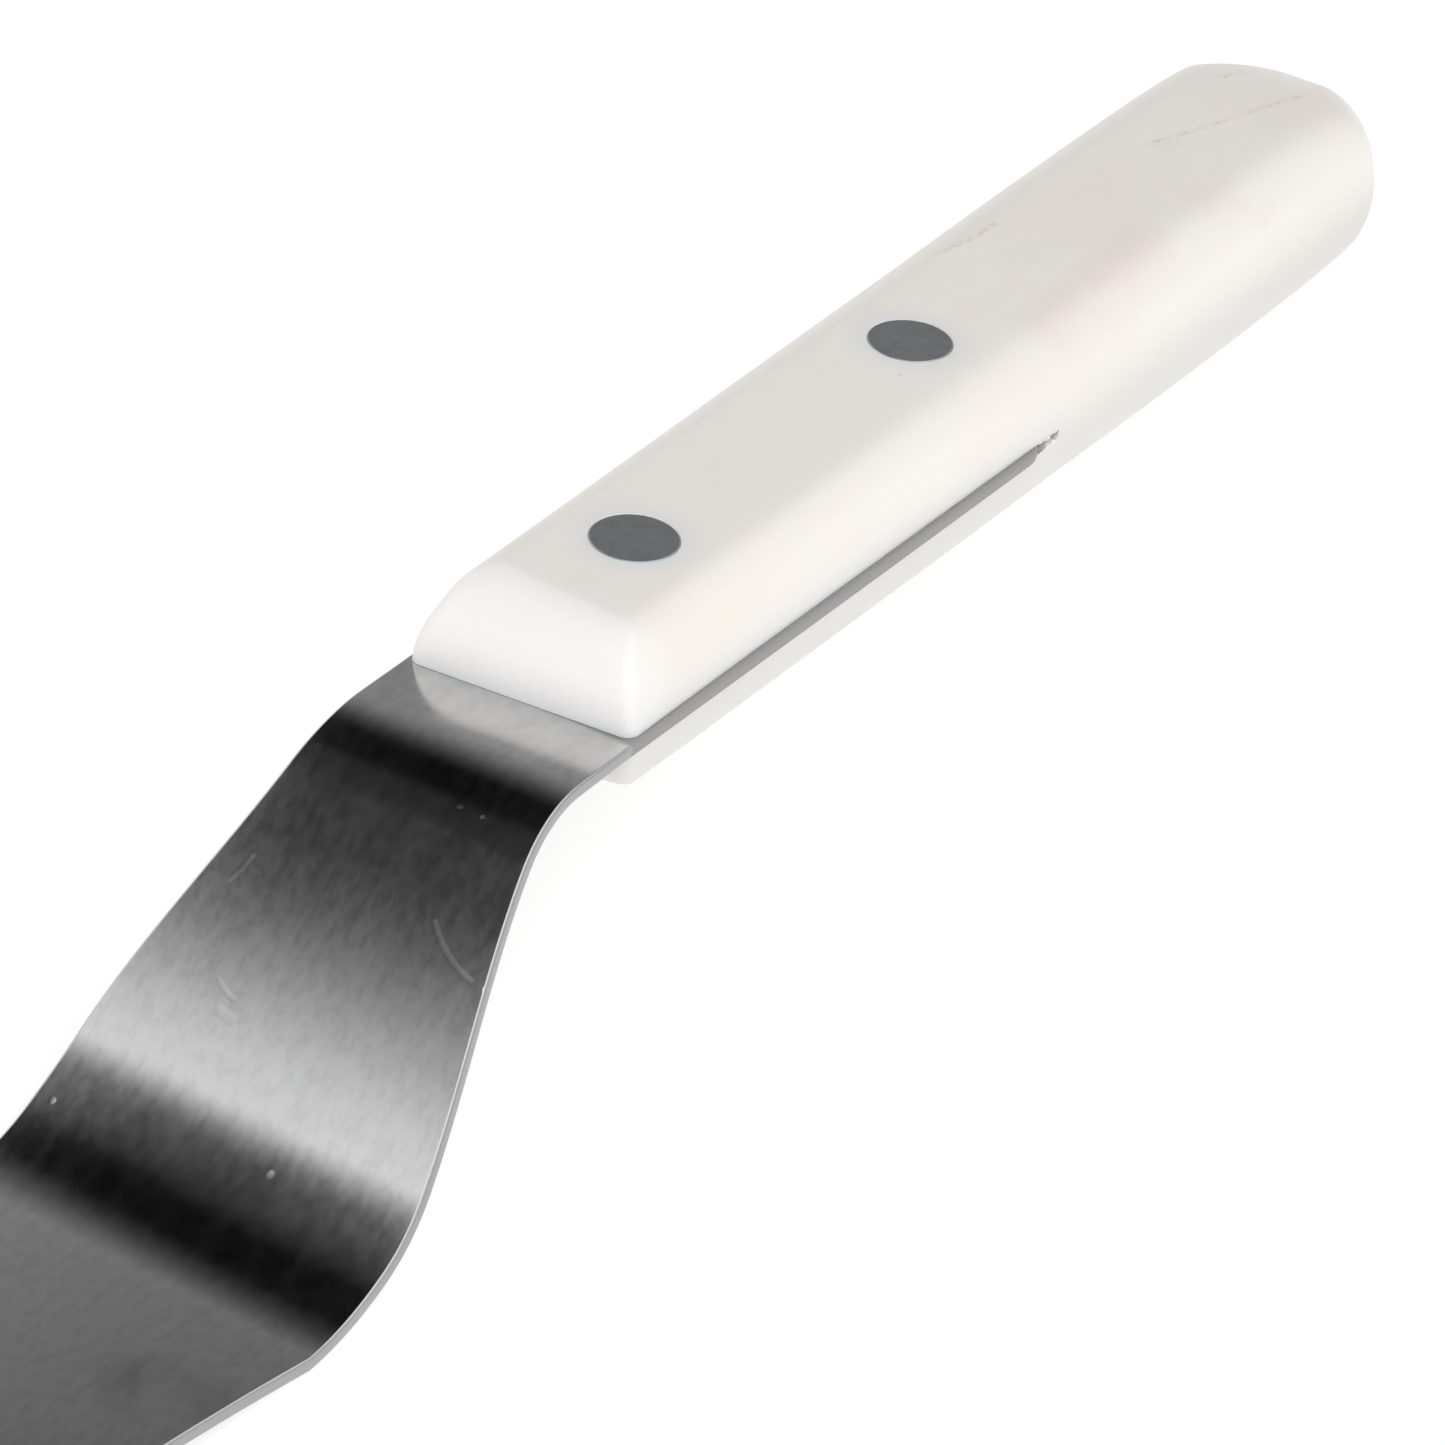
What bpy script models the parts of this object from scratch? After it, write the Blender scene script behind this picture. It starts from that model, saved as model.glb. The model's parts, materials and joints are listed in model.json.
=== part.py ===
"""Cranked palette knife: a spring-steel blade whose half tang is riveted into a slotted bone handle.

The knife is modelled in its handle's frame: +X towards the blade's tip, +Z up, the tang's middle plane
at Z = 0 and the front rivet's axis at X = Y = 0. One empty then stands the whole knife on the ground as
it rests on a table, on its lower bend and its butt, with the ground's Z = 0 under the middle of its box.
"""
import math

import bmesh
import bpy
from mathutils import Matrix, Vector

# ---------------------------------------------------------------- driving dimensions, in metres

# Handle block. The tang's kerf is sawn a little below the middle of the front.
HANDLE_LENGTH = 0.1121
TOP_ABOVE_TANG = 0.0069          # flat top face above the tang's middle plane
FRONT_THICKNESS = 0.0129
BUTT_THICKNESS = 0.0140
FRONT_OVERHANG = 0.0126          # front rivet's axis to the middle of the handle's front edge
FRONT_HALF_WIDTH = 0.0087        # at mid height, where the handle is widest
BUTT_HALF_WIDTH = 0.01015
FRONT_FLAT_HALF_WIDTH = 0.0064   # flat top and bottom faces
BUTT_FLAT_HALF_WIDTH = 0.0081
FRONT_TOP_EDGE_RADIUS = 0.0026
BUTT_TOP_EDGE_RADIUS = 0.0054
SIDE_EDGE_RADIUS = 0.0090
FRONT_EDGE_RADIUS = 0.0004
FACET_SLANT_LEFT = 0.0047        # how far the upper front facet leans back at its left and right ends
FACET_SLANT_RIGHT = 0.0022
LOWER_FACET_SLANT = 0.0041       # the facet below the tang
FACET_CURVE = 2.4                # 1 is a flat facet, more is steep at the tang and round at the top
FACET_FADE = 2.2                 # length over which the facet's lean fades out, in slants of its left end
FLAT_FLARE = 1.3                 # the flat faces and their edges reach the butt's size this much sooner
FRONT_SKEW = 0.098               # hand-ground front edge: its left end stands further forward
BUTT_PLAN_LENGTH = 0.0090        # lengths over which the butt is rounded, in plan and from the side
BUTT_SIDE_LENGTH = 0.0208
BUTT_PLAN_POWER = 1.25           # 2 is an ellipse, less is more pointed, more is squarer
BUTT_SIDE_POWER = 2.75

# Blade and tang, one sheet
SHEET_THICKNESS = 0.0010
TIP_THICKNESS = 0.0006           # ground away on the upper side only, so the underside is flat
EDGE_CHAMFER = 0.00020
TANG_REACH = 0.0402              # front rivet's axis to the tang's rear end
TANG_CORNER_RADIUS = 0.0030
TANG_RECESS_FRONT = 0.00025      # the tang's edges lie a little inside the handle's sides
TANG_RECESS_REAR = 0.00004
NECK_LENGTH = 0.0054             # straight sheet between the handle and the upper bend
CRANK_DROP = 0.0216
CRANK_ANGLE = math.radians(42.9)
RAMP_BOW = math.radians(3.2)     # the ramp is this much less steep at its top and steeper at its foot
UPPER_BEND_RADIUS = 0.0100
LOWER_BEND_RADIUS = 0.0168
FLARE_START = 0.0051             # along the sheet, from the handle's front
FLARE_LENGTH = 0.0338
SHOULDER_HALF_WIDTH = 0.01364    # widest place, in the lower bend
TIP_HALF_WIDTH = 0.0085
FLAT_LENGTH = 0.0730             # flat blade, lower bend to tip
TAPER_POWER = 2.5                # 1 is a straight taper, more narrows sooner

# Compression rivets
RIVET_SPACING = 0.0351
RIVET_HEAD_RADIUS = 0.0030
RIVET_HEAD_THICKNESS = 0.0018
RIVET_TUBE_RADIUS = 0.0020
RIVET_BORE_RADIUS = 0.0013
RIVET_ROOF = 0.0001              # bore's end below the upper head's seat
RIVET_MOUTH_GAP = 0.0006         # tube's mouth to the lower head, and shank's nose to the bore's end
RIVET_NOSE_CHAMFER = 0.0003

# Saw kerf and its filler
KERF_RUN_OUT = 0.0024            # kerf's end behind the tang's end
SAW_RADIUS = 0.0400

# Clearances
SLOT_CLEARANCE = 0.00005         # tang to each face of the kerf
RIVET_CLEARANCE = 0.00005        # rivet to its holes, shank to tube
FILLER_CLEARANCE = 0.00005       # filler to the kerf's end, and to both its faces together
FILLER_END_GAP = 0.000075        # tang's end to the filler

# Fineness of the faceted surfaces
RIVET_SEGMENTS = 48
CORNER_STEPS = 6
HANDLE_STATIONS = 18
BUTT_STATIONS = 14
FACET_STATIONS = 4
BEND_STATIONS = 12
STRAIGHT_STATIONS = 10
FLAT_STATIONS = 18
TIP_STATIONS = 14
TANG_CORNER_STATIONS = 6
KERF_STEPS = 16
FILLER_STEPS = 80
BODY_CROWDING = 1.35             # 1 spaces the handle's stations evenly, more crowds them at the front
TIP_SQUARED = 0.4                # share of the tip's last station that is left square
FILLET_LIMIT = 0.49              # share of a polygon's side that one rounded corner may take
CREASE_ANGLE = math.radians(28)

# ---------------------------------------------------------------- values that follow from them

HANDLE_FRONT = FRONT_OVERHANG
HANDLE_BUTT = FRONT_OVERHANG - HANDLE_LENGTH
KERF_HALF_HEIGHT = SHEET_THICKNESS / 2 + SLOT_CLEARANCE
TANG_END = -TANG_REACH
TANG_LENGTH = HANDLE_FRONT - TANG_END
KERF_END = TANG_END - KERF_RUN_OUT
RIVET_PLACES = {"front": 0.0, "rear": -RIVET_SPACING}
CUTTER_MARGIN = 0.004            # how far a cutter stands clear of what it cuts
STEEPEST_REST = math.radians(30)
REST_HALVINGS = 50

COLOURS = {
    "bone": ((0.86, 0.83, 0.78, 1.0), 0.38, 0.0),
    "steel": ((0.56, 0.56, 0.56, 1.0), 0.30, 1.0),
    "rivet": ((0.40, 0.40, 0.41, 1.0), 0.42, 1.0),
    "filler": ((0.52, 0.50, 0.46, 1.0), 0.80, 0.0),
}


# ---------------------------------------------------------------- helpers

def smoothstep(value):
    """Ease from 0 to 1, flat at both ends."""
    value = min(max(value, 0.0), 1.0)
    return value * value * (3 - 2 * value)


def mix(start, end, share):
    return start + (end - start) * share


def material(name):
    """Principled material of one finish."""
    colour, roughness, metallic = COLOURS[name]
    made = bpy.data.materials.get(name) or bpy.data.materials.new(name)
    made.use_nodes = True
    shader = made.node_tree.nodes["Principled BSDF"]
    shader.inputs["Base Color"].default_value = colour
    shader.inputs["Roughness"].default_value = roughness
    shader.inputs["Metallic"].default_value = metallic
    made.diffuse_color = colour
    return made


def add_object(name, bm, finish, parent, place=(0.0, 0.0, 0.0)):
    """Turn a bmesh into a smooth-shaded object with its faces outwards and its edges kept crisp."""
    bmesh.ops.recalc_face_normals(bm, faces=bm.faces)
    if bm.calc_volume(signed=True) < 0:
        bmesh.ops.reverse_faces(bm, faces=bm.faces)
    mesh = bpy.data.meshes.new(name)
    bm.to_mesh(mesh)
    bm.free()
    mesh.shade_smooth()
    mesh.set_sharp_from_angle(angle=CREASE_ANGLE)
    mesh.materials.append(material(finish))
    made = bpy.data.objects.new(name, mesh)
    bpy.context.scene.collection.objects.link(made)
    made.parent = parent
    made.location = place
    return made


def hide(cutter):
    """Mark an object as a cutter or a guide, not a piece."""
    cutter.hide_render = True
    cutter.display_type = "WIRE"
    return cutter


def boolean(target, other, operation):
    cut = target.modifiers.new(operation.lower() + "_" + other.name, "BOOLEAN")
    cut.operation = operation
    cut.solver = "EXACT"
    cut.object = other


def bridge_rings(bm, rings):
    """Join a list of closed rings of points, one after another, with quads."""
    loops = [[bm.verts.new(point) for point in ring] for ring in rings]
    for first, second in zip(loops, loops[1:]):
        for i in range(len(first)):
            j = (i + 1) % len(first)
            bm.faces.new((first[i], first[j], second[j], second[i]))
    return loops


def fillet(before, corner, after, radius, steps):
    """Points of the arc that rounds one corner of a polygon, kept within its sides."""
    to_before, to_after = before - corner, after - corner
    half_angle = to_before.angle(to_after) / 2
    limit = FILLET_LIMIT * min(to_before.length, to_after.length)
    reach = min(radius / math.tan(half_angle), limit)
    bisector = (to_before.normalized() + to_after.normalized()).normalized()
    centre = corner + bisector * (reach / math.cos(half_angle))
    start = corner + to_before.normalized() * reach - centre
    end = corner + to_after.normalized() * reach - centre
    sweep = start.angle(end)
    points = []
    for step in range(steps + 1):
        share = step / steps
        weight_start = math.sin((1 - share) * sweep) / math.sin(sweep)
        weight_end = math.sin(share * sweep) / math.sin(sweep)
        points.append(centre + start * weight_start + end * weight_end)
    return points


# ---------------------------------------------------------------- handle

def along_handle(x):
    """Share of the handle's length behind its front, from 0 to 1."""
    return min(max((HANDLE_FRONT - x) / HANDLE_LENGTH, 0.0), 1.0)


def flare(x):
    """Share of the flare from front to butt: quick at the front, level at the butt."""
    return math.sin(math.pi / 2 * along_handle(x))


def handle_half_width(x):
    """Half the handle's width at mid height, before the butt's rounding."""
    return mix(FRONT_HALF_WIDTH, BUTT_HALF_WIDTH, flare(x))


def handle_bottom(x):
    """Height of the flat bottom face, before the butt's rounding."""
    return TOP_ABOVE_TANG - mix(FRONT_THICKNESS, BUTT_THICKNESS, flare(x))


def butt_scale(x, length, power):
    """Share of its full width or height that the butt keeps at x, along a superellipse."""
    past = min(max(1 - (x - HANDLE_BUTT) / length, 0.0), 1.0)
    return (1 - past ** power) ** (1 / power)


def handle_section(x, inset=0.0):
    """Six-sided section with rounded corners, as (y, z) points that pair left with right.

    The first half of the points runs down the right side from the top, and the second half runs up the
    left side, so point i and point -1 - i have the same height.
    """
    ease = smoothstep(FLAT_FLARE * along_handle(x))
    width_scale = butt_scale(x, BUTT_PLAN_LENGTH, BUTT_PLAN_POWER)
    half_width = (handle_half_width(x) - inset) * width_scale
    flat = (mix(FRONT_FLAT_HALF_WIDTH, BUTT_FLAT_HALF_WIDTH, ease) - inset) * width_scale
    middle = (TOP_ABOVE_TANG + handle_bottom(x)) / 2
    height = (TOP_ABOVE_TANG - middle - inset) * butt_scale(x, BUTT_SIDE_LENGTH, BUTT_SIDE_POWER)
    edge_radius = mix(FRONT_TOP_EDGE_RADIUS, BUTT_TOP_EDGE_RADIUS, ease)
    top, side, bottom = Vector((flat, height)), Vector((half_width, 0.0)), Vector((flat, -height))
    top_left, bottom_left = Vector((-flat, height)), Vector((-flat, -height))
    right = fillet(top_left, top, side, edge_radius, CORNER_STEPS)
    right += fillet(top, side, bottom, SIDE_EDGE_RADIUS, CORNER_STEPS)
    right += fillet(side, bottom, bottom_left, edge_radius, CORNER_STEPS)
    right = [Vector((point.x, point.y + middle)) for point in right]
    left = [Vector((-point.x, point.y)) for point in reversed(right)]
    return right + left


def front_shift(y, z):
    """How far the hand-ground front facet stands behind a plain square front at (y, z)."""
    across = y / (2 * FRONT_HALF_WIDTH) + 0.5
    slant = mix(FACET_SLANT_LEFT, FACET_SLANT_RIGHT, across) if z > 0 else LOWER_FACET_SLANT
    reach = TOP_ABOVE_TANG if z > 0 else -handle_bottom(HANDLE_FRONT)
    height = min(abs(z) / reach, 1.0)
    return slant * height ** FACET_CURVE + FRONT_SKEW * y


def handle_ring(x, front_share, inset=0.0):
    """One ring of the block; front_share says how much of the facet's lean it follows."""
    section = handle_section(x, inset)
    return [Vector((x - front_share * front_shift(point.x, point.y), point.x, point.y)) for point in section]


def handle_blank(parent):
    """Solid block of the handle: rounded front edge, straight sides that flare, and rounded butt."""
    rings = []
    lean_length = FACET_FADE * FACET_SLANT_LEFT
    for step in range(FACET_STATIONS + 1):
        turn = math.pi / 2 * (1 - step / FACET_STATIONS)
        x = HANDLE_FRONT - FRONT_EDGE_RADIUS * (1 - math.sin(turn))
        rings.append(handle_ring(x, 1.0, FRONT_EDGE_RADIUS * (1 - math.cos(turn))))
    body_start = HANDLE_FRONT - FRONT_EDGE_RADIUS
    butt_length = max(BUTT_PLAN_LENGTH, BUTT_SIDE_LENGTH)
    butt_start = HANDLE_BUTT + butt_length
    for step in range(1, HANDLE_STATIONS + 1):
        x = mix(body_start, butt_start, (step / HANDLE_STATIONS) ** BODY_CROWDING)
        rings.append(handle_ring(x, 1 - smoothstep((body_start - x) / lean_length)))
    for step in range(1, BUTT_STATIONS):
        turn = math.pi / 2 * step / BUTT_STATIONS
        rings.append(handle_ring(butt_start - butt_length * math.sin(turn), 0.0))
    bm = bmesh.new()
    loops = bridge_rings(bm, rings)
    close_across(bm, loops[0])
    pole = bm.verts.new((HANDLE_BUTT, 0.0, (TOP_ABOVE_TANG + handle_bottom(HANDLE_BUTT)) / 2))
    last = loops[-1]
    for i in range(len(last)):
        bm.faces.new((last[i], last[(i + 1) % len(last)], pole))
    return hide(add_object("handle_blank", bm, "bone", parent))


def close_across(bm, loop):
    """Close a ring with strips that join each point to its partner of the same height."""
    half = len(loop) // 2
    for i in range(half - 1):
        bm.faces.new((loop[i], loop[i + 1], loop[-2 - i], loop[-1 - i]))


def kerf_end_x(y):
    """Rear end of the saw kerf, an arc of the saw's own radius."""
    return KERF_END + SAW_RADIUS - math.sqrt(SAW_RADIUS ** 2 - y ** 2)


def plate(outline, half_height):
    """Closed plate between two heights with the given outline of (x, y) points."""
    bm = bmesh.new()
    rings = [[Vector((x, y, z)) for x, y in outline] for z in (-half_height, half_height)]
    loops = bridge_rings(bm, rings)
    bm.faces.new(loops[0])
    bm.faces.new(loops[1])
    return bm


def kerf_cutter(parent):
    """Plate that saws the slot from the front."""
    reach = BUTT_HALF_WIDTH + CUTTER_MARGIN
    ys = [mix(-reach, reach, share) for share in [0.0] + even_shares(KERF_STEPS)]
    front = HANDLE_FRONT + CUTTER_MARGIN
    outline = [(kerf_end_x(y), y) for y in ys] + [(front, reach), (front, -reach)]
    return hide(add_object("kerf_cutter", plate(outline, KERF_HALF_HEIGHT), "filler", parent))


def handle(parent, blank):
    """The slotted and bored handle."""
    bm = bmesh.new()
    bm.from_mesh(blank.data)
    made = add_object("handle", bm, "bone", parent)
    boolean(made, kerf_cutter(parent), "DIFFERENCE")
    for place, x in RIVET_PLACES.items():
        boolean(made, rivet_hole_cutter(place, x, parent), "DIFFERENCE")
    return made


# ---------------------------------------------------------------- blade

def crank_stations():
    """Centre line of the sheet from tang to tip: (distance, x, z, slope) with the slope in radians."""
    bend_start = HANDLE_FRONT + NECK_LENGTH
    top, foot = CRANK_ANGLE - RAMP_BOW, CRANK_ANGLE + RAMP_BOW
    bends_drop = UPPER_BEND_RADIUS * (1 - math.cos(top)) + LOWER_BEND_RADIUS * (1 - math.cos(foot))
    ramp = (CRANK_DROP - bends_drop) * (foot - top) / (math.cos(top) - math.cos(foot))
    stations = []
    runs = (
        (bend_start - TANG_END, 0.0, 0.0, tang_shares()),
        (UPPER_BEND_RADIUS * top, 0.0, -top, even_shares(BEND_STATIONS)),
        (ramp, -top, -foot, even_shares(STRAIGHT_STATIONS)),
        (LOWER_BEND_RADIUS * foot, -foot, 0.0, even_shares(BEND_STATIONS)),
        (FLAT_LENGTH, 0.0, 0.0, flat_shares()),
    )
    distance, x, z = 0.0, TANG_END, 0.0
    for length, slope_in, slope_out, shares in runs:
        bend = slope_out - slope_in
        for share in shares:
            if bend:
                radius, slope = length / bend, slope_in + bend * share
                step_x = radius * (math.sin(slope) - math.sin(slope_in))
                step_z = radius * (math.cos(slope_in) - math.cos(slope))
            else:
                slope = slope_in
                step_x, step_z = length * share * math.cos(slope), length * share * math.sin(slope)
            stations.append((distance + length * share, x + step_x, z + step_z, slope))
        distance, x, z = stations[-1][0], stations[-1][1], stations[-1][2]
    return stations


def even_shares(count):
    return [step / count for step in range(1, count + 1)]


def tang_shares():
    """Stations of the tang: close together round its rear corners, then even."""
    length = TANG_LENGTH + NECK_LENGTH
    turns = [math.pi / 2 * share for share in [0.0] + even_shares(TANG_CORNER_STATIONS)]
    corner = [TANG_CORNER_RADIUS * (1 - math.cos(turn)) / length for turn in turns]
    return corner + [mix(corner[-1], 1.0, share) for share in even_shares(STRAIGHT_STATIONS)]


def flat_shares():
    """Stations of the flat blade: even, then closing up round the tip, which ends a hair square."""
    tip_start = 1 - TIP_HALF_WIDTH / FLAT_LENGTH
    tip_shares = even_shares(TIP_STATIONS)
    tip_shares[-1] -= TIP_SQUARED / TIP_STATIONS
    tip = [mix(tip_start, 1.0, math.sin(math.pi / 2 * share)) for share in tip_shares]
    return [tip_start * share for share in even_shares(FLAT_STATIONS)] + tip


def tang_half_width(x):
    """Half-width of the tang inside the handle, round its rear corners."""
    recess = mix(TANG_RECESS_REAR, TANG_RECESS_FRONT, (x - TANG_END) / (HANDLE_FRONT - TANG_END))
    short = max(TANG_CORNER_RADIUS - (x - TANG_END), 0.0)
    corner = TANG_CORNER_RADIUS - math.sqrt(max(TANG_CORNER_RADIUS ** 2 - short ** 2, 0.0))
    return handle_half_width(x) - recess - corner


def blade_half_width(distance, x, flat_start):
    """Half-width of the sheet: tang, flared crank, tapered blade and round tip."""
    if x <= HANDLE_FRONT:
        return tang_half_width(x)
    if distance <= flat_start:
        flare_share = smoothstep((distance - TANG_LENGTH - FLARE_START) / FLARE_LENGTH)
        return mix(tang_half_width(HANDLE_FRONT), SHOULDER_HALF_WIDTH, flare_share)
    tip_start = flat_start + FLAT_LENGTH - TIP_HALF_WIDTH
    left = max(tip_start - distance, 0.0) / (tip_start - flat_start)
    past = max(distance - tip_start, 0.0) / TIP_HALF_WIDTH
    width = mix(TIP_HALF_WIDTH, SHOULDER_HALF_WIDTH, left ** TAPER_POWER)
    return width * math.sqrt(max(1 - past * past, 0.0))


def blade_section(half_width, upper, lower):
    """Flat section with a small chamfer along each edge, as (y, offset) points."""
    chamfer = min(EDGE_CHAMFER, 0.3 * (upper - lower), 0.5 * half_width)
    inner = half_width - chamfer
    right = [(inner, upper), (half_width, upper - chamfer), (half_width, lower + chamfer), (inner, lower)]
    return right + [(-y, offset) for y, offset in reversed(right)]


def blade(parent):
    """The cranked sheet with its two rivet holes."""
    stations = crank_stations()
    flat_start = stations[-1 - len(flat_shares())][0]
    rings = []
    for distance, x, z, slope in stations:
        half_width = blade_half_width(distance, x, flat_start)
        grind = smoothstep((distance - flat_start) / FLAT_LENGTH)
        lower = -SHEET_THICKNESS / 2
        upper = lower + mix(SHEET_THICKNESS, TIP_THICKNESS, grind)
        ring = []
        for y, offset in blade_section(half_width, upper, lower):
            ring.append(Vector((x - offset * math.sin(slope), y, z + offset * math.cos(slope))))
        rings.append(ring)
    bm = bmesh.new()
    loops = bridge_rings(bm, rings)
    bm.faces.new(loops[0])
    bm.faces.new(loops[-1])
    made = add_object("blade", bm, "steel", parent)
    for place in RIVET_PLACES:
        boolean(made, bpy.data.objects[place + "_hole_cutter"], "DIFFERENCE")
    return made


# ---------------------------------------------------------------- rivets

def turned(profile):
    """Closed round solid from (radius, z) points that run from one end's rim to the other's."""
    bm = bmesh.new()
    rings = []
    for radius, z in profile:
        turns = [2 * math.pi * step / RIVET_SEGMENTS for step in range(RIVET_SEGMENTS)]
        rings.append([Vector((radius * math.cos(turn), radius * math.sin(turn), z)) for turn in turns])
    loops = bridge_rings(bm, rings)
    bm.faces.new(loops[0])
    bm.faces.new(loops[-1])
    return bm


def rivet_hole_cutter(place, x, parent):
    """Through hole for the tube with a counterbore for each head."""
    seat_gap = RIVET_HEAD_THICKNESS + RIVET_CLEARANCE
    head, tube = RIVET_HEAD_RADIUS + RIVET_CLEARANCE, RIVET_TUBE_RADIUS + RIVET_CLEARANCE
    top, bottom = TOP_ABOVE_TANG, handle_bottom(x)
    profile = [
        (head, top + CUTTER_MARGIN), (head, top - seat_gap), (tube, top - seat_gap),
        (tube, bottom + seat_gap), (head, bottom + seat_gap), (head, bottom - CUTTER_MARGIN),
    ]
    return hide(add_object(place + "_hole_cutter", turned(profile), "filler", parent, (x, 0.0, 0.0)))


def rivet(place, x, parent):
    """Both halves of one compression rivet, their heads flush with the handle's flat faces."""
    top, bottom = TOP_ABOVE_TANG, handle_bottom(x)
    upper_seat, lower_seat = top - RIVET_HEAD_THICKNESS, bottom + RIVET_HEAD_THICKNESS
    mouth = lower_seat + RIVET_MOUTH_GAP
    bore_end = upper_seat - RIVET_ROOF
    nose = bore_end - RIVET_MOUTH_GAP
    shank = RIVET_BORE_RADIUS - RIVET_CLEARANCE
    tube = [
        (RIVET_HEAD_RADIUS, top), (RIVET_HEAD_RADIUS, upper_seat), (RIVET_TUBE_RADIUS, upper_seat),
        (RIVET_TUBE_RADIUS, mouth + RIVET_NOSE_CHAMFER), (RIVET_TUBE_RADIUS - RIVET_NOSE_CHAMFER, mouth),
        (RIVET_BORE_RADIUS, mouth), (RIVET_BORE_RADIUS, bore_end),
    ]
    pin = [
        (RIVET_HEAD_RADIUS, bottom), (RIVET_HEAD_RADIUS, lower_seat), (shank, lower_seat),
        (shank, nose - RIVET_NOSE_CHAMFER), (shank - RIVET_NOSE_CHAMFER, nose),
    ]
    add_object(place + "_rivet_tube", turned(tube), "rivet", parent, (x, 0.0, 0.0))
    add_object(place + "_rivet_shank", turned(pin), "rivet", parent, (x, 0.0, 0.0))


# ---------------------------------------------------------------- kerf filler

def tang_end_x(y):
    """Rear edge of the tang at a distance y from its centre line, round its corners."""
    straight = handle_half_width(TANG_END) - TANG_RECESS_REAR - TANG_CORNER_RADIUS
    past = min(max(abs(y) - straight, 0.0), TANG_CORNER_RADIUS)
    return TANG_END + TANG_CORNER_RADIUS - math.sqrt(TANG_CORNER_RADIUS ** 2 - past ** 2)


def slot_filler(parent, blank):
    """Adhesive that closes the kerf behind the tang, flush with the handle's sides."""
    reach = BUTT_HALF_WIDTH + CUTTER_MARGIN
    ys = [mix(-reach, reach, share) for share in [0.0] + even_shares(FILLER_STEPS)]
    back = [(kerf_end_x(y) + FILLER_CLEARANCE, y) for y in ys]
    front = [(tang_end_x(y) - FILLER_END_GAP, y) for y in reversed(ys)]
    bm = plate(back + front, KERF_HALF_HEIGHT - FILLER_CLEARANCE / 2)
    made = add_object("slot_filler", bm, "filler", parent)
    boolean(made, blank, "INTERSECT")
    return made


# ---------------------------------------------------------------- standing the knife on the ground

def resting_place(blade_object, handle_object):
    """Turn and shift that rest the knife on its lower bend and its butt, centred over the origin."""
    blade_points = [vertex.co.copy() for vertex in blade_object.data.vertices]
    handle_points = [vertex.co.copy() for vertex in handle_object.data.vertices]

    def lowest(points, angle):
        return min(point.z * math.cos(angle) + point.x * math.sin(angle) for point in points)

    low, high = 0.0, STEEPEST_REST
    for _ in range(REST_HALVINGS):
        middle = (low + high) / 2
        if lowest(blade_points, middle) < lowest(handle_points, middle):
            low = middle
        else:
            high = middle
    turn = Matrix.Rotation(-low, 4, "Y")
    turned_points = [turn @ point for point in blade_points + handle_points]
    xs = [point.x for point in turned_points]
    ys = [point.y for point in turned_points]
    lowest_z = min(point.z for point in turned_points)
    return low, Vector((-(min(xs) + max(xs)) / 2, -(min(ys) + max(ys)) / 2, -lowest_z))


def build():
    for old in list(bpy.data.objects):
        bpy.data.objects.remove(old, do_unlink=True)
    knife = bpy.data.objects.new("knife", None)
    bpy.context.scene.collection.objects.link(knife)
    blank = handle_blank(knife)
    handle_piece = handle(knife, blank)
    blade_piece = blade(knife)
    for place, x in RIVET_PLACES.items():
        rivet(place, x, knife)
    slot_filler(knife, blank)
    angle, shift = resting_place(blade_piece, handle_piece)
    knife.rotation_euler = (0.0, -angle, 0.0)
    knife.location = shift


build()
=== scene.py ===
"""Looks of a cranked palette knife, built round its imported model.

Sizes are in metres and in the handle's own frame: +X towards the blade's tip, +Z up, the tang's middle
plane at Z = 0 and the front rivet's axis at X = Y = 0. The frame's own pieces say how that frame lies on
the ground, so every piece is modelled once and then stood in its resting place.
"""

import json
import logging
import math
from collections.abc import Callable, Sequence
from dataclasses import dataclass, field
from enum import Enum
from typing import Union

import bmesh
import bpy
from mathutils import Matrix, Vector


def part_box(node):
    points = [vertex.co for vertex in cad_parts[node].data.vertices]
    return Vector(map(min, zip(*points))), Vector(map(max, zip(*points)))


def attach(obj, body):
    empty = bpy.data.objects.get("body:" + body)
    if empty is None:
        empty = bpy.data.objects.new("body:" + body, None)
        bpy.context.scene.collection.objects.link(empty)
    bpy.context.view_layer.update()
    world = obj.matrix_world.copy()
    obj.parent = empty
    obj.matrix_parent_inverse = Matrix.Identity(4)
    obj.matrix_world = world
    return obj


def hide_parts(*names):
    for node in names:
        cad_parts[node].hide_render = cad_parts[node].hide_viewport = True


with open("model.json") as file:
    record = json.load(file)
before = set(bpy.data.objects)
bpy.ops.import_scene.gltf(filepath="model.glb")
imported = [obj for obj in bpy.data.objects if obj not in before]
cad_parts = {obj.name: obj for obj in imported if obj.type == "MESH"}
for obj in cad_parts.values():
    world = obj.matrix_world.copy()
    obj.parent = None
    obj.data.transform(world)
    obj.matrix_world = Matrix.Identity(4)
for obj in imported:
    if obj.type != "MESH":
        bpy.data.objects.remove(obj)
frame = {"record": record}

LOG = logging.getLogger("palette_knife")
SHORTEST_RUN = 1e-6      # a mark shorter than this is a spot
MARK_CORE = 0.2          # share of a mark's width that shows in full
FILLET_LIMIT = 0.49      # most of a polygon's side that one rounded corner may take
Colour = tuple[float, float, float]
Direction = tuple[float, float, float]
Span = tuple[float, float]
Ring = list[Vector]


# ---------------------------------------------------------------- resting place

@dataclass(frozen=True)
class Rest:
    """How the handle's frame lies on the ground."""

    tilt: float
    shift: Vector

    @property
    def matrix(self) -> Matrix:
        """The handle's frame in the ground's frame."""
        return Matrix.Translation(self.shift) @ Matrix.Rotation(-self.tilt, 4, "Y")


# ---------------------------------------------------------------- shader arithmetic

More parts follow.
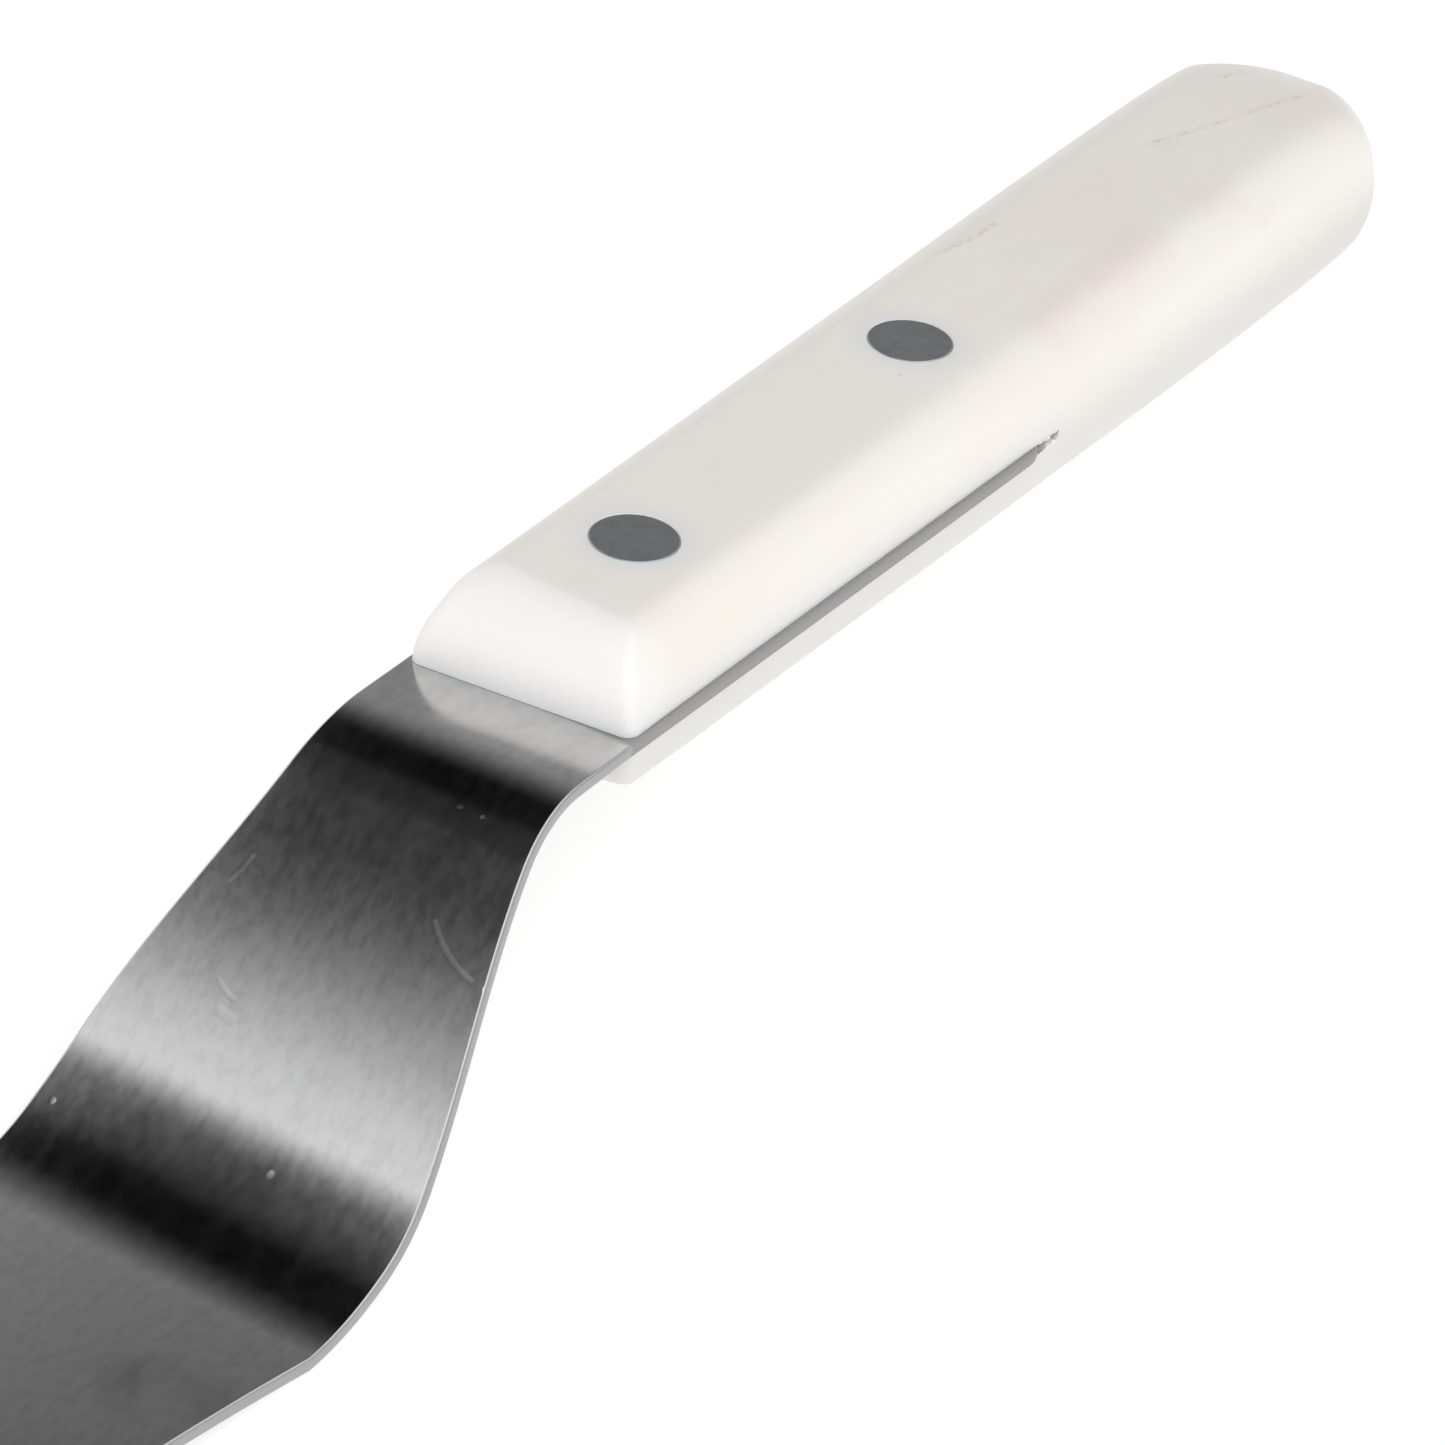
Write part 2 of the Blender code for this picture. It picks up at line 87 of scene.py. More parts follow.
class Blend(Enum):
    """How one colour is laid over another."""

    MIX = "MIX"
    MULTIPLY = "MULTIPLY"
    SCREEN = "SCREEN"


Value = Union["Socket", float]


class Socket:
    """A node's output that takes part in plain arithmetic."""

    def __init__(self, graph: "Graph", link: bpy.types.NodeSocket) -> None:
        """Keep the graph that the output belongs to, and the output."""
        self.graph = graph
        self.link = link

    def _math(self, operation: str, first: Value, second: Value) -> "Socket":
        """One Math node.

        Args:
            operation: The Math node's operation.
            first: Its first value.
            second: Its second value.

        Returns:
            The node's result.
        """
        return self.graph.node("ShaderNodeMath", {"operation": operation}, {0: first, 1: second})

    def __add__(self, other: Value) -> "Socket":
        """Sum."""
        return self._math("ADD", self, other)

    __radd__ = __add__

    def __sub__(self, other: Value) -> "Socket":
        """Difference."""
        return self._math("SUBTRACT", self, other)

    def __rsub__(self, other: float) -> "Socket":
        """Difference from a plain number."""
        return self._math("SUBTRACT", other, self)

    def __mul__(self, other: Value) -> "Socket":
        """Product."""
        return self._math("MULTIPLY", self, other)

    __rmul__ = __mul__

    def __truediv__(self, other: Value) -> "Socket":
        """Quotient."""
        return self._math("DIVIDE", self, other)

    def __pow__(self, other: Value) -> "Socket":
        """Power."""
        return self._math("POWER", self, other)

    def __abs__(self) -> "Socket":
        """Size without its sign."""
        return self._math("ABSOLUTE", self, 0.0)

    def least(self, other: Value) -> "Socket":
        """Smaller of two values."""
        return self._math("MINIMUM", self, other)

    def most(self, other: Value) -> "Socket":
        """Larger of two values."""
        return self._math("MAXIMUM", self, other)

    def rise(self, low: float, high: float) -> "Socket":
        """Ease from 0 at low to 1 at high.

        Args:
            low: Value at and below which the result is 0.
            high: Value at and above which the result is 1.

        Returns:
            The eased share.
        """
        return self.graph.node(
            "ShaderNodeMapRange", {"interpolation_type": "SMOOTHSTEP"}, {0: self, 1: low, 2: high}
        )

    def fall(self, low: float, high: float) -> "Socket":
        """Ease from 1 at low to 0 at high."""
        return 1 - self.rise(low, high)

    def eased(self, span: Span) -> "Socket":
        """Ease from 0 at the span's first value to 1 at its second, which may be the lower one."""
        return self.rise(*span) if span[0] < span[1] else self.fall(span[1], span[0])

    def parts(self) -> "tuple[Socket, Socket, Socket]":
        """Split a vector.

        Returns:
            Its X, Y and Z.
        """
        split = self.graph.tree.nodes.new("ShaderNodeSeparateXYZ")
        self.graph.feed(split.inputs[0], self)
        return tuple(Socket(self.graph, output) for output in split.outputs)

    def scaled(self, x: float, y: float, z: float) -> "Socket":
        """A vector stretched along each axis."""
        return self.graph.node(
            "ShaderNodeVectorMath", {"operation": "MULTIPLY"}, {0: self, 1: (x, y, z)}
        )

    def shifted(self, x: float, y: float, z: float) -> "Socket":
        """A vector moved along each axis."""
        return self.graph.node("ShaderNodeVectorMath", {"operation": "ADD"}, {0: self, 1: (x, y, z)})

    def turned(self, angle: float) -> "Socket":
        """A vector turned about Z."""
        return self.graph.node(
            "ShaderNodeVectorRotate", {"rotation_type": "Z_AXIS"}, {"Vector": self, "Angle": angle}
        )


class Graph:
    """The nodes of one material or of the world."""

    def __init__(self, tree: bpy.types.NodeTree) -> None:
        """Keep the node tree that this graph adds to."""
        self.tree = tree

    def feed(self, socket: bpy.types.NodeSocket, value: "Socket | float | Sequence[float]") -> None:
        """Link or set one input.

        Args:
            socket: The input.
            value: An output to link, or a plain value to set.
        """
        if isinstance(value, Socket):
            self.tree.links.new(value.link, socket)
        elif getattr(socket, "type", "") == "RGBA" and len(value) == 3:
            socket.default_value = (*value, 1.0)
        else:
            socket.default_value = value

    def node(self, kind: str, settings: dict | None = None, inputs: dict | None = None,
             output: int | str = 0) -> Socket:
        """Add one node.

        Args:
            kind: The node's type.
            settings: Its own settings, set first.
            inputs: Values or links of its inputs, by name or number.
            output: The output to hand back.

        Returns:
            That output.
        """
        made = self.tree.nodes.new(kind)
        for name, value in (settings or {}).items():
            setattr(made, name, value)
        for name, value in (inputs or {}).items():
            self.feed(made.inputs[name], value)
        return Socket(self, made.outputs[output])

    def place(self, rest: "Rest") -> Socket:
        """Where a point lies in the handle's frame.

        Args:
            rest: How that frame lies on the ground.

        Returns:
            The place, in metres.
        """
        x, y, z = self.node("ShaderNodeTexCoord", output="Object").parts()
        x, z = x - rest.shift.x, z - rest.shift.z
        cos, sin = math.cos(rest.tilt), math.sin(rest.tilt)
        return self.node("ShaderNodeCombineXYZ", None, {0: x * cos + z * sin, 1: y, 2: z * cos - x * sin})

    def noise(self, where: Socket, scale: float, detail: float = 2.0, roughness: float = 0.5) -> Socket:
        """Soft random variation about one half.

        Args:
            where: The vector that it varies over.
            scale: Patches to a unit of that vector.
            detail: Finer layers on top of the first.
            roughness: How strong the finer layers are.

        Returns:
            The variation.
        """
        return self.node(
            "ShaderNodeTexNoise", None,
            {"Vector": where, "Scale": scale, "Detail": detail, "Roughness": roughness},
        )

    def cells(self, where: Socket, scale: float, output: str = "Distance") -> Socket:
        """Distance to the nearest of many scattered points, or that point's own random colour."""
        return self.node("ShaderNodeTexVoronoi", None, {"Vector": where, "Scale": scale}, output)

    def lay(self, share: Socket | float, under: Socket | Colour, over: Socket | Colour,
            blend: Blend = Blend.MIX) -> Socket:
        """Lay one colour over another.

        Args:
            share: How much of the upper colour shows.
            under: The lower colour.
            over: The upper colour.
            blend: How they are laid.

        Returns:
            The mixed colour.
        """
        settings = {"data_type": "RGBA", "blend_type": blend.value}
        return self.node("ShaderNodeMix", settings, {0: share, 6: under, 7: over}, 2)

    def bump(self, height: Socket, distance: float, strength: float = 1.0,
             under: Socket | None = None) -> Socket:
        """Surface direction tilted by a height.

        Args:
            height: The height, as a share of distance.
            distance: Height of 1, in metres.
            strength: How much of the tilt counts.
            under: A bump that this one lies on.

        Returns:
            The tilted direction.
        """
        inputs = {"Height": height, "Distance": distance, "Strength": strength}
        if under is not None:
            inputs["Normal"] = under
        return self.node("ShaderNodeBump", None, inputs)


def new_material(name: str, dress: Callable[[Graph], dict]) -> bpy.types.Material:
    """A material whose surface shader gets what dress works out.

    Args:
        name: The material's name.
        dress: Adds its nodes and returns the shader's inputs by name.

    Returns:
        The material.
    """
    made = bpy.data.materials.new(name)
    made.use_nodes = True
    graph = Graph(made.node_tree)
    shader = made.node_tree.nodes["Principled BSDF"]
    for socket, value in dress(graph).items():
        graph.feed(shader.inputs[socket], value)
    return made


# ---------------------------------------------------------------- patterns and finishes

def varied(middle: float, *swings: tuple[Socket, float]) -> Socket:
    """A value that patterns swing up and down.

    Args:
        middle: The value where every pattern is at one half.
        swings: Each pattern, with the value's whole swing between the pattern's 0 and 1.

    Returns:
        The varied value.
    """
    total = swings[0][0] * swings[0][1]
    for pattern, swing in swings[1:]:
        total = total + pattern * swing
    return total + (middle - sum(swing for _, swing in swings) / 2)


@dataclass(frozen=True)
class Pattern:
    """Soft random variation, which may be drawn out along an axis."""

    scale: float
    detail: float
    roughness: float
    stretch: Direction | None = None

    def over(self, graph: Graph, where: Socket) -> Socket:
        """The variation over a piece.

        Args:
            graph: The material's nodes.
            where: The place, in metres.

        Returns:
            A value about one half.
        """
        drawn = where.scaled(*self.stretch) if self.stretch else where
        return graph.noise(drawn, self.scale, self.detail, self.roughness)


@dataclass(frozen=True)
class Wash:
    """A thin colour that comes in as a value passes from one end of a span to the other."""

    colour: Colour
    span: Span
    strength: float

    def over(self, graph: Graph, value: Socket, under: Socket | Colour,
             where: Socket | None = None) -> Socket:
        """Lay the wash over a colour.

        Args:
            graph: The material's nodes.
            value: The value that brings it in.
            under: The colour that it lies on.
            where: The share of it that is kept, if not all.

        Returns:
            The washed colour.
        """
        share = value.eased(self.span)
        if where is not None:
            share = share * where
        return graph.lay(share * self.strength, under, self.colour)


@dataclass(frozen=True)
class Relief:
    """How deep a fine relief is, in metres, and how much of its tilt counts."""

    depth: float
    strength: float

    def over(self, graph: Graph, height: Socket, under: Socket | None = None) -> Socket:
        """Surface direction tilted by a height."""
        return graph.bump(height, self.depth, self.strength, under)


@dataclass(frozen=True)
class Mark:
    """A mark on a surface: a soft line between two points, or a spot where they are the same."""

    start: tuple[float, float]
    end: tuple[float, float]
    width: float
    bend: float = 0.0

    def mask(self, graph: Graph, x: Socket, y: Socket) -> Socket:
        """How strongly the mark shows.

        Args:
            graph: The material's nodes, not used here.
            x: Place along the knife.
            y: Place across it.

        Returns:
            1 on the mark's middle line and 0 past its width.
        """
        run = Vector(self.end) - Vector(self.start)
        length = max(run.length, SHORTEST_RUN)
        run /= length
        from_x, from_y = x - self.start[0], y - self.start[1]
        along = from_x * run.x + from_y * run.y
        share = (along / length).most(0.0).least(1.0)
        across = from_y * run.x - from_x * run.y + share * (1 - share) * (4 * self.bend)
        past = along - share * length
        away = (across * across + past * past) ** 0.5
        return away.fall(MARK_CORE * self.width, self.width)


@dataclass(frozen=True)
class Bone:
    """Polished bone: off-white, with warm clouds, faint fibres and a dotted vein, and painted light: a paler
    front, painted shade below, towards the butt and along the tang's slot.
    """

    pale: Colour = (0.835, 0.805, 0.765)
    warm: Colour = (0.80, 0.715, 0.63)
    pink: Colour = (0.80, 0.70, 0.66)
    vein: Colour = (0.56, 0.44, 0.34)
    cool: Colour = (0.70, 0.735, 0.76)
    # Colour of the painted shade on the lower half, the butt end and the tang's slot.
    shade: Colour = (0.66, 0.645, 0.615)
    clouds: Pattern = Pattern(95, 3, 0.55, (0.45, 1, 1))
    fibres: Pattern = Pattern(1500, 3, 0.6, (0.05, 1, 1))
    blotches: Pattern = Pattern(130, 3, 0.6, (0.7, 1, 1))
    blotch_shift: Direction = (0.3, 0, 0)
    dots: Pattern = Pattern(1900, 3, 0.65)
    pores: Pattern = Pattern(420, 4, 0.6)
    clouded: Wash = Wash(warm, (0.42, 0.72), 0.30)
    fibrous: Wash = Wash(warm, (0.35, 0.75), 0.07)
    blotched: Wash = Wash(pink, (0.56, 0.74), 0.40)
    # Partly real, partly painted light: the ground front is paler bone, and the front end is also painted
    # paler for the light that falls on it.
    ground_and_lit_front: Wash = Wash((0.85, 0.84, 0.825), (0.0060, 0.0095), 0.75)
    # Painted shade: the lower half, and a little the butt end, are darkened for the light that reaches them
    # less.
    lower_half: Span = (0.0040, -0.0020)
    lower_shade: float = 0.78
    towards_butt: Span = (-0.030, -0.085)
    butt_shade: float = 0.08
    top_face: Span = (0.0015, 0.0045)
    blushes: tuple[Mark, ...] = (
        Mark((-0.0500, 0.0062), (-0.0600, 0.0052), 0.0034),
        Mark((-0.0440, 0.0060), (-0.0480, 0.0058), 0.0030),
        Mark((-0.0740, -0.0008), (-0.0750, -0.0006), 0.0011),
    )
    blush_blotches: Span = (0.34, 0.60)
    blush_strength: float = 0.55
    veins: tuple[Mark, ...] = (
        Mark((-0.0735, -0.0022), (-0.0905, 0.0024), 0.00042, 0.0004),
        Mark((-0.0480, -0.0052), (-0.0545, -0.0044), 0.00050, 0.0002),
        Mark((-0.0885, -0.0036), (-0.0915, -0.0032), 0.00055),
    )
    vein_dots: Span = (0.50, 0.64)
    vein_between_dots: float = 0.15
    vein_strength: float = 0.50
    seed_scale: float = 330
    seed: Wash = Wash(vein, (0.11, 0.05), 0.60)
    seed_rarity: Span = (0.955, 0.975)
    # Painted shade: a cool, darker band along the tang's slot.
    slot_shade: Span = (0.0026, 0.0004)
    slot_shade_fade: float = 0.0035
    slot_shade_strength: float = 0.34
    rivet_tint_radii: Span = (1.75, 0.90)
    rivet_tint_strength: float = 0.42
    roughness: float = 0.36
    cloud_swing: float = 0.10
    fibre_swing: float = 0.06
    fibre_height: float = 0.6
    relief: Relief = Relief(0.00002, 0.35)

    def tint(self, x: Socket, y: Socket, z: Socket, rivets: Sequence[float], rivet_radius: float,
             tang_end: float) -> Socket:
        """Share of the cool tint in the bone: painted shade in a band along the tang's slot, and a cool grey
        ring round each rivet.

        Args:
            x: Place along the handle.
            y: Place across it.
            z: Height above the tang's middle.
            rivets: Places of the rivets along the handle.
            rivet_radius: Radius of the rivets' heads.
            tang_end: Rear end of the tang.

        Returns:
            The share.
        """
        # Painted shade along the tang's slot.
        share = abs(z).eased(self.slot_shade)
        share = share * x.rise(tang_end - self.slot_shade_fade, tang_end) * self.slot_shade_strength
        outer, inner = (radii * rivet_radius for radii in self.rivet_tint_radii)
        for rivet in rivets:
            off = x - rivet
            away = (off * off + y * y) ** 0.5
            share = share.most(away.fall(inner, outer) * self.rivet_tint_strength)
        return share

    def material(self, rest: Rest, rivets: Sequence[float], rivet_radius: float,
                 tang_end: float) -> bpy.types.Material:
        """The bone's material.

        Args:
            rest: How the handle's frame lies on the ground.
            rivets: Places of the rivets along the handle.
            rivet_radius: Radius of the rivets' heads.
            tang_end: Rear end of the tang.

        Returns:
            The material.
        """
        def dress(graph: Graph) -> dict:
            """Nodes of the bone.

            Args:
                graph: The material's nodes.

            Returns:
                The shader's inputs.
            """
            where = graph.place(rest)
            x, y, z = where.parts()
            clouds, fibres = self.clouds.over(graph, where), self.fibres.over(graph, where)
            blotches = self.blotches.over(graph, where.shifted(*self.blotch_shift))
            near_butt, on_top = x.eased(self.towards_butt), z.eased(self.top_face)
            colour = self.clouded.over(graph, clouds, self.pale)
            colour = self.fibrous.over(graph, fibres, colour)
            colour = self.blotched.over(graph, blotches, colour, near_butt)
            # Paler towards the front: partly the ground bone's own colour, partly painted light.
            colour = self.ground_and_lit_front.over(graph, x, colour)
            # Painted shade on the lower half and towards the butt.
            shaded = z.eased(self.lower_half) * self.lower_shade + near_butt * self.butt_shade
            colour = graph.lay(shaded, colour, self.shade)
            for mark in self.blushes:
                share = mark.mask(graph, x, y) * on_top * blotches.eased(self.blush_blotches)
                colour = graph.lay(share * self.blush_strength, colour, self.pink)
            dots = self.dots.over(graph, where).eased(self.vein_dots)
            for mark in self.veins:
                dotted = dots * (1 - self.vein_between_dots) + self.vein_between_dots
                share = mark.mask(graph, x, y) * on_top * dotted
                colour = graph.lay(share * self.vein_strength, colour, self.vein)
            rare = graph.cells(where, self.seed_scale, "Color").parts()[0].eased(self.seed_rarity)
            colour = self.seed.over(graph, graph.cells(where, self.seed_scale), colour, rare)
            # Cool tint: painted shade along the tang's slot, and a grey ring round each rivet.
            tint = self.tint(x, y, z, rivets, rivet_radius, tang_end)
            height = fibres * self.fibre_height + self.pores.over(graph, where) * (1 - self.fibre_height)
            return {
                "Base Color": graph.lay(tint, colour, self.cool),
                "Roughness": varied(self.roughness, (clouds, self.cloud_swing), (fibres, self.fibre_swing)),
                "Normal": self.relief.over(graph, height),
                "Subsurface Weight": 0.30,
                "Subsurface Radius": (1.0, 0.72, 0.50),
                "Subsurface Scale": 0.0016,
                "IOR": 1.5,
            }

        return new_material("polished bone", dress)


@dataclass(frozen=True)
class SatinSteel:
    """Tumbled and lightly brushed spring steel, with small dents and scratches."""

    colour: Colour = (0.60, 0.60, 0.605)
    worn: Colour = (0.74, 0.74, 0.745)
    bared: Colour = (0.86, 0.86, 0.86)
    sanded: Colour = (0.39, 0.385, 0.375)
    sheared: Colour = (0.40, 0.40, 0.405)
    grain: Pattern = Pattern(5200, 3, 0.6, (0.04, 1, 0.04))
    streaks: Pattern = Pattern(900, 3, 0.6, (0.10, 1, 0.10))
    mottle: Pattern = Pattern(1350, 4, 0.60, (0.6, 1, 0.6))
    patches: Pattern = Pattern(150, 3, 0.6)
    streaked: Wash = Wash(worn, (0.35, 0.75), 0.22)
    mottled: Wash = Wash(worn, (0.38, 0.66), 0.26)
    dulled: Wash = Wash((0.47, 0.47, 0.475), (0.50, 0.34), 0.22)
    # Painted reflection: a soft dark patch on the flat blade, where the steel reflects something dark.
    dark_reflection: Mark = Mark((0.0592, 0.0075), (0.0605, 0.0150), 0.0046)
    dark_reflection_wash: Wash = Wash((0.36, 0.36, 0.365), (0.25, 0.65), 0.75)
    upper_side: Span = (-0.1, 0.2)
    rim_tilt: Span = (0.10, 0.55)
    sanding_fade: float = 0.0006
    worn_bend: tuple[Span, Span] = ((0.0365, 0.0400), (0.0465, 0.0430))
    dents: tuple[Mark, ...] = (
        Mark((0.04375, -0.01229), (0.04375, -0.01228), 0.00030),
        Mark((0.04225, 0.00343), (0.04225, 0.00344), 0.00034),
        Mark((0.02323, 0.00301), (0.02323, 0.00302), 0.00025),
        Mark((0.02322, 0.00475), (0.02322, 0.00476), 0.00025),
        Mark((0.03073, 0.01063), (0.03073, 0.01064), 0.00025),
        Mark((0.07610, -0.00420), (0.07610, -0.00421), 0.00040),
        Mark((0.10210, 0.00310), (0.10210, 0.00311), 0.00034),
    )
    scratches: tuple[Mark, ...] = (
        Mark((0.02885, 0.00540), (0.03064, 0.00950), 0.00022, 0.00030),
        Mark((0.03531, -0.00611), (0.03590, -0.00440), 0.00020, 0.0001),
        Mark((0.03660, -0.00500), (0.03675, -0.00390), 0.00034),
        Mark((0.03110, -0.00860), (0.02960, -0.00800), 0.00020, 0.0001),
        Mark((0.06800, 0.00200), (0.07350, 0.00520), 0.00024, 0.0004),
        Mark((0.08900, -0.00500), (0.09300, -0.00100), 0.00024, -0.0003),
    )
    dent_shine: float = 0.20
    scratch_shine: float = 0.05
    scratch_depth: float = 0.10
    roughness: float = 0.155
    mottle_swing: float = 0.07
    streak_swing: float = 0.05
    patch_swing: float = 0.05
    wear: float = 0.090
    scratch_roughness: float = 0.04
    dent_roughness: float = 0.10
    tang_roughness: float = 0.25
    rim_roughness: float = 0.20
    mottle_height: float = 0.6
    fine_relief: Relief = Relief(0.0000035, 0.5)
    cloudy_relief: Relief = Relief(0.000006, 0.35)
    marked_relief: Relief = Relief(0.00003, 0.6)

    def marks(self, graph: Graph, marks: Sequence[Mark], x: Socket, y: Socket) -> Socket:
        """How strongly any of some marks shows.

        Args:
            graph: The material's nodes.
            marks: The marks, of which no two meet.
            x: Place along the knife.
            y: Place across it.

        Returns:
            The sum of their masks.
        """
        total = 0.0
        for mark in marks:
            total = mark.mask(graph, x, y) + total
        return total

    def material(self, rest: Rest, handle_front: float) -> bpy.types.Material:
        """The blade's material.

        Args:
            rest: How the handle's frame lies on the ground.
            handle_front: Front of the handle, behind which the tang's edges are sanded with the bone.

        Returns:
            The material.
        """
        def dress(graph: Graph) -> dict:
            """Nodes of the steel.

            Args:
                graph: The material's nodes.

            Returns:
                The shader's inputs.
            """
            where = graph.place(rest)
            x, y, _ = where.parts()
            grain, streaks = self.grain.over(graph, where), self.streaks.over(graph, where)
            mottle, patches = self.mottle.over(graph, where), self.patches.over(graph, where)
            _, sideways, upwards = graph.node("ShaderNodeNewGeometry", output="Normal").parts()
            upper_side, rim = upwards.eased(self.upper_side), abs(sideways).eased(self.rim_tilt)
            dent = self.marks(graph, self.dents, x, y) * upper_side
            scratch = self.marks(graph, self.scratches, x, y) * upper_side
            tang = x.fall(handle_front - self.sanding_fade, handle_front)
            colour = self.streaked.over(graph, streaks, self.colour)
            colour = self.mottled.over(graph, mottle, colour)
            colour = self.dulled.over(graph, mottle, colour)
            # Painted reflection: a soft dark patch on the flat.
            colour = self.dark_reflection_wash.over(graph, patches, colour, self.dark_reflection.mask(graph, x, y))
            colour = graph.lay(scratch * self.scratch_shine + dent * self.dent_shine, colour, self.bared)
            colour = graph.lay(tang, colour, self.sanded)
            colour = graph.lay(rim * (1 - tang), colour, self.sheared)
            worn_in, worn_out = self.worn_bend
            rough = varied(
                self.roughness,
                (mottle, self.mottle_swing), (streaks, self.streak_swing), (patches, self.patch_swing),
            )
            rough = rough + x.eased(worn_in) * x.eased(worn_out) * self.wear
            rough = rough + scratch * self.scratch_roughness + dent * self.dent_roughness
            rough = rough + tang * self.tang_roughness + rim * self.rim_roughness
            clouds = mottle * self.mottle_height + streaks * (1 - self.mottle_height)
            direction = self.fine_relief.over(graph, grain)
            direction = self.cloudy_relief.over(graph, clouds, direction)
            direction = self.marked_relief.over(graph, dent * -1 - scratch * self.scratch_depth, direction)
            return {"Base Color": colour, "Roughness": rough, "Metallic": 1.0, "Normal": direction}

        return new_material("satin spring steel", dress)


@dataclass(frozen=True)
class RivetSteel:
    """Dark rivet steel, sanded flush with the bone."""

    colour: Colour = (0.40, 0.405, 0.42)
    gouge: Colour = (0.16, 0.16, 0.165)
    sanding_angle: float = math.radians(35)
    crossing: float = 1.1
    lines: Pattern = Pattern(6500, 3, 0.65, (0.06, 1, 1))
    crossed_lines: Pattern = Pattern(4200, 2, 0.6, (0.08, 1, 1))
    clouds: Pattern = Pattern(900, 3, 0.6)
    gouges: Pattern = Pattern(1500, 1, 0.4, (0.25, 1, 1))
    clouded: Wash = Wash((0.30, 0.305, 0.32), (0.35, 0.7), 0.45)
    lined: Wash = Wash((0.56, 0.56, 0.57), (0.55, 0.75), 0.40)
    gouged: Span = (0.70, 0.76)
    gouge_strength: float = 0.55
    roughness: float = 0.42
    line_swing: float = 0.16
    crossed_swing: float = 0.10
    line_height: float = 0.6
    gouge_depth: float = 0.6
    relief: Relief = Relief(0.000008, 0.6)

    def material(self, rest: Rest) -> bpy.types.Material:
        """The rivets' material.

        Args:
            rest: How the handle's frame lies on the ground.

        Returns:
            The material.
        """
        def dress(graph: Graph) -> dict:
            """Nodes of the rivet steel.

            Args:
                graph: The material's nodes.

            Returns:
                The shader's inputs.
            """
            where = graph.place(rest)
            sanded = where.turned(self.sanding_angle)
            crossing = where.turned(self.sanding_angle - self.crossing)
            lines, crossed = self.lines.over(graph, sanded), self.crossed_lines.over(graph, crossing)
            gouges = self.gouges.over(graph, sanded).eased(self.gouged)
            colour = self.clouded.over(graph, self.clouds.over(graph, where), self.colour)
            colour = self.lined.over(graph, lines, colour)
            colour = graph.lay(gouges * self.gouge_strength, colour, self.gouge)
            height = lines * self.line_height + crossed * (1 - self.line_height) - gouges * self.gouge_depth
            return {
                "Base Color": colour,
                "Roughness": varied(self.roughness, (lines, self.line_swing), (crossed, self.crossed_swing)),
                "Metallic": 1.0,
                "Normal": self.relief.over(graph, height),
            }

        return new_material("sanded rivet steel", dress)


@dataclass(frozen=True)
class Grit:
    """Set adhesive with steel and bone grit, which closes the saw kerf behind the tang."""

    pale: Colour = (0.80, 0.78, 0.74)
    grey: Colour = (0.24, 0.23, 0.225)
    flecks: Pattern = Pattern(3600, 4, 0.75, (0.45, 1, 1))
    lumps: Pattern = Pattern(3800, 3, 0.6)
    shown_ahead: float = 0.0029
    shown_length: float = 0.0041
    half_height: float = 0.00055
    taper: float = 0.55
    climb: float = 0.00020
    raggedness: float = 0.0008
    grey_edge: Span = (0.00005, -0.00005)
    broken: Wash = Wash(pale, (0.50, 0.60), 0.75)
    breaking: Span = (0.35, 0.75)
    roughness: float = 0.6
    fleck_swing: float = 0.2
    relief: Relief = Relief(0.00006, 0.7)

    def material(self, rest: Rest, tang_end: float) -> bpy.types.Material:
        """The filler's material.

        Args:
            rest: How the handle's frame lies on the ground.
            tang_end: Rear end of the tang, where the grit is thickest.

        Returns:
            The material.
        """
        def dress(graph: Graph) -> dict:
            """Nodes of the filler.

            Args:
                graph: The material's nodes.

            Returns:
                The shader's inputs.
            """
            where = graph.place(rest)
            x, _, z = where.parts()
            flecks = self.flecks.over(graph, where)
            back = (x - (tang_end + self.shown_ahead)) * (-1 / self.shown_length)
            off = abs(z - back * back * self.climb) + (flecks - 0.5) * self.raggedness
            width = back * (-self.taper * self.half_height) + self.half_height
            colour = graph.lay((off - width).eased(self.grey_edge), self.pale, self.grey)
            return {
                "Base Color": self.broken.over(graph, flecks, colour, back.eased(self.breaking)),
                "Roughness": varied(self.roughness, (flecks, self.fleck_swing)),
                "Normal": self.relief.over(graph, self.lumps.over(graph, where)),
            }

        return new_material("gritty adhesive", dress)


# ---------------------------------------------------------------- mesh helpers

def ease(value: float) -> float:
    """Ease from 0 to 1, flat at both ends."""
    value = min(max(value, 0.0), 1.0)
    return value * value * (3 - 2 * value)


def between(start: float, end: float, share: float) -> float:
    """Value a share of the way from start to end."""
    return start + (end - start) * share


def corner_arc(before: Vector, corner: Vector, after: Vector, radius: float, steps: int) -> Ring:
    """Round one corner of a polygon.

    Args:
        before: The corner before it.
        corner: The corner itself.
        after: The corner after it.
        radius: Radius, kept within half the shorter side.
        steps: Facets of the arc.

    Returns:
        Points of the arc.
    """
    back, ahead = before - corner, after - corner
    half_angle = back.angle(ahead) / 2
    reach = min(radius / math.tan(half_angle), FILLET_LIMIT * back.length, FILLET_LIMIT * ahead.length)
    bisector = (back.normalized() + ahead.normalized()).normalized()
    centre = corner + bisector * (reach / math.cos(half_angle))
    start = corner + back.normalized() * reach - centre
    end = corner + ahead.normalized() * reach - centre
    sweep = start.angle(end)
    points = []
    for step in range(steps + 1):
        share = step / steps
        start_weight = math.sin((1 - share) * sweep) / math.sin(sweep)
        end_weight = math.sin(share * sweep) / math.sin(sweep)
        points.append(centre + start * start_weight + end * end_weight)
    return points


def straight(start: Vector, end: Vector, steps: int) -> Ring:
    """Points between two ends, without the ends."""
    return [start.lerp(end, step / steps) for step in range(1, steps)]


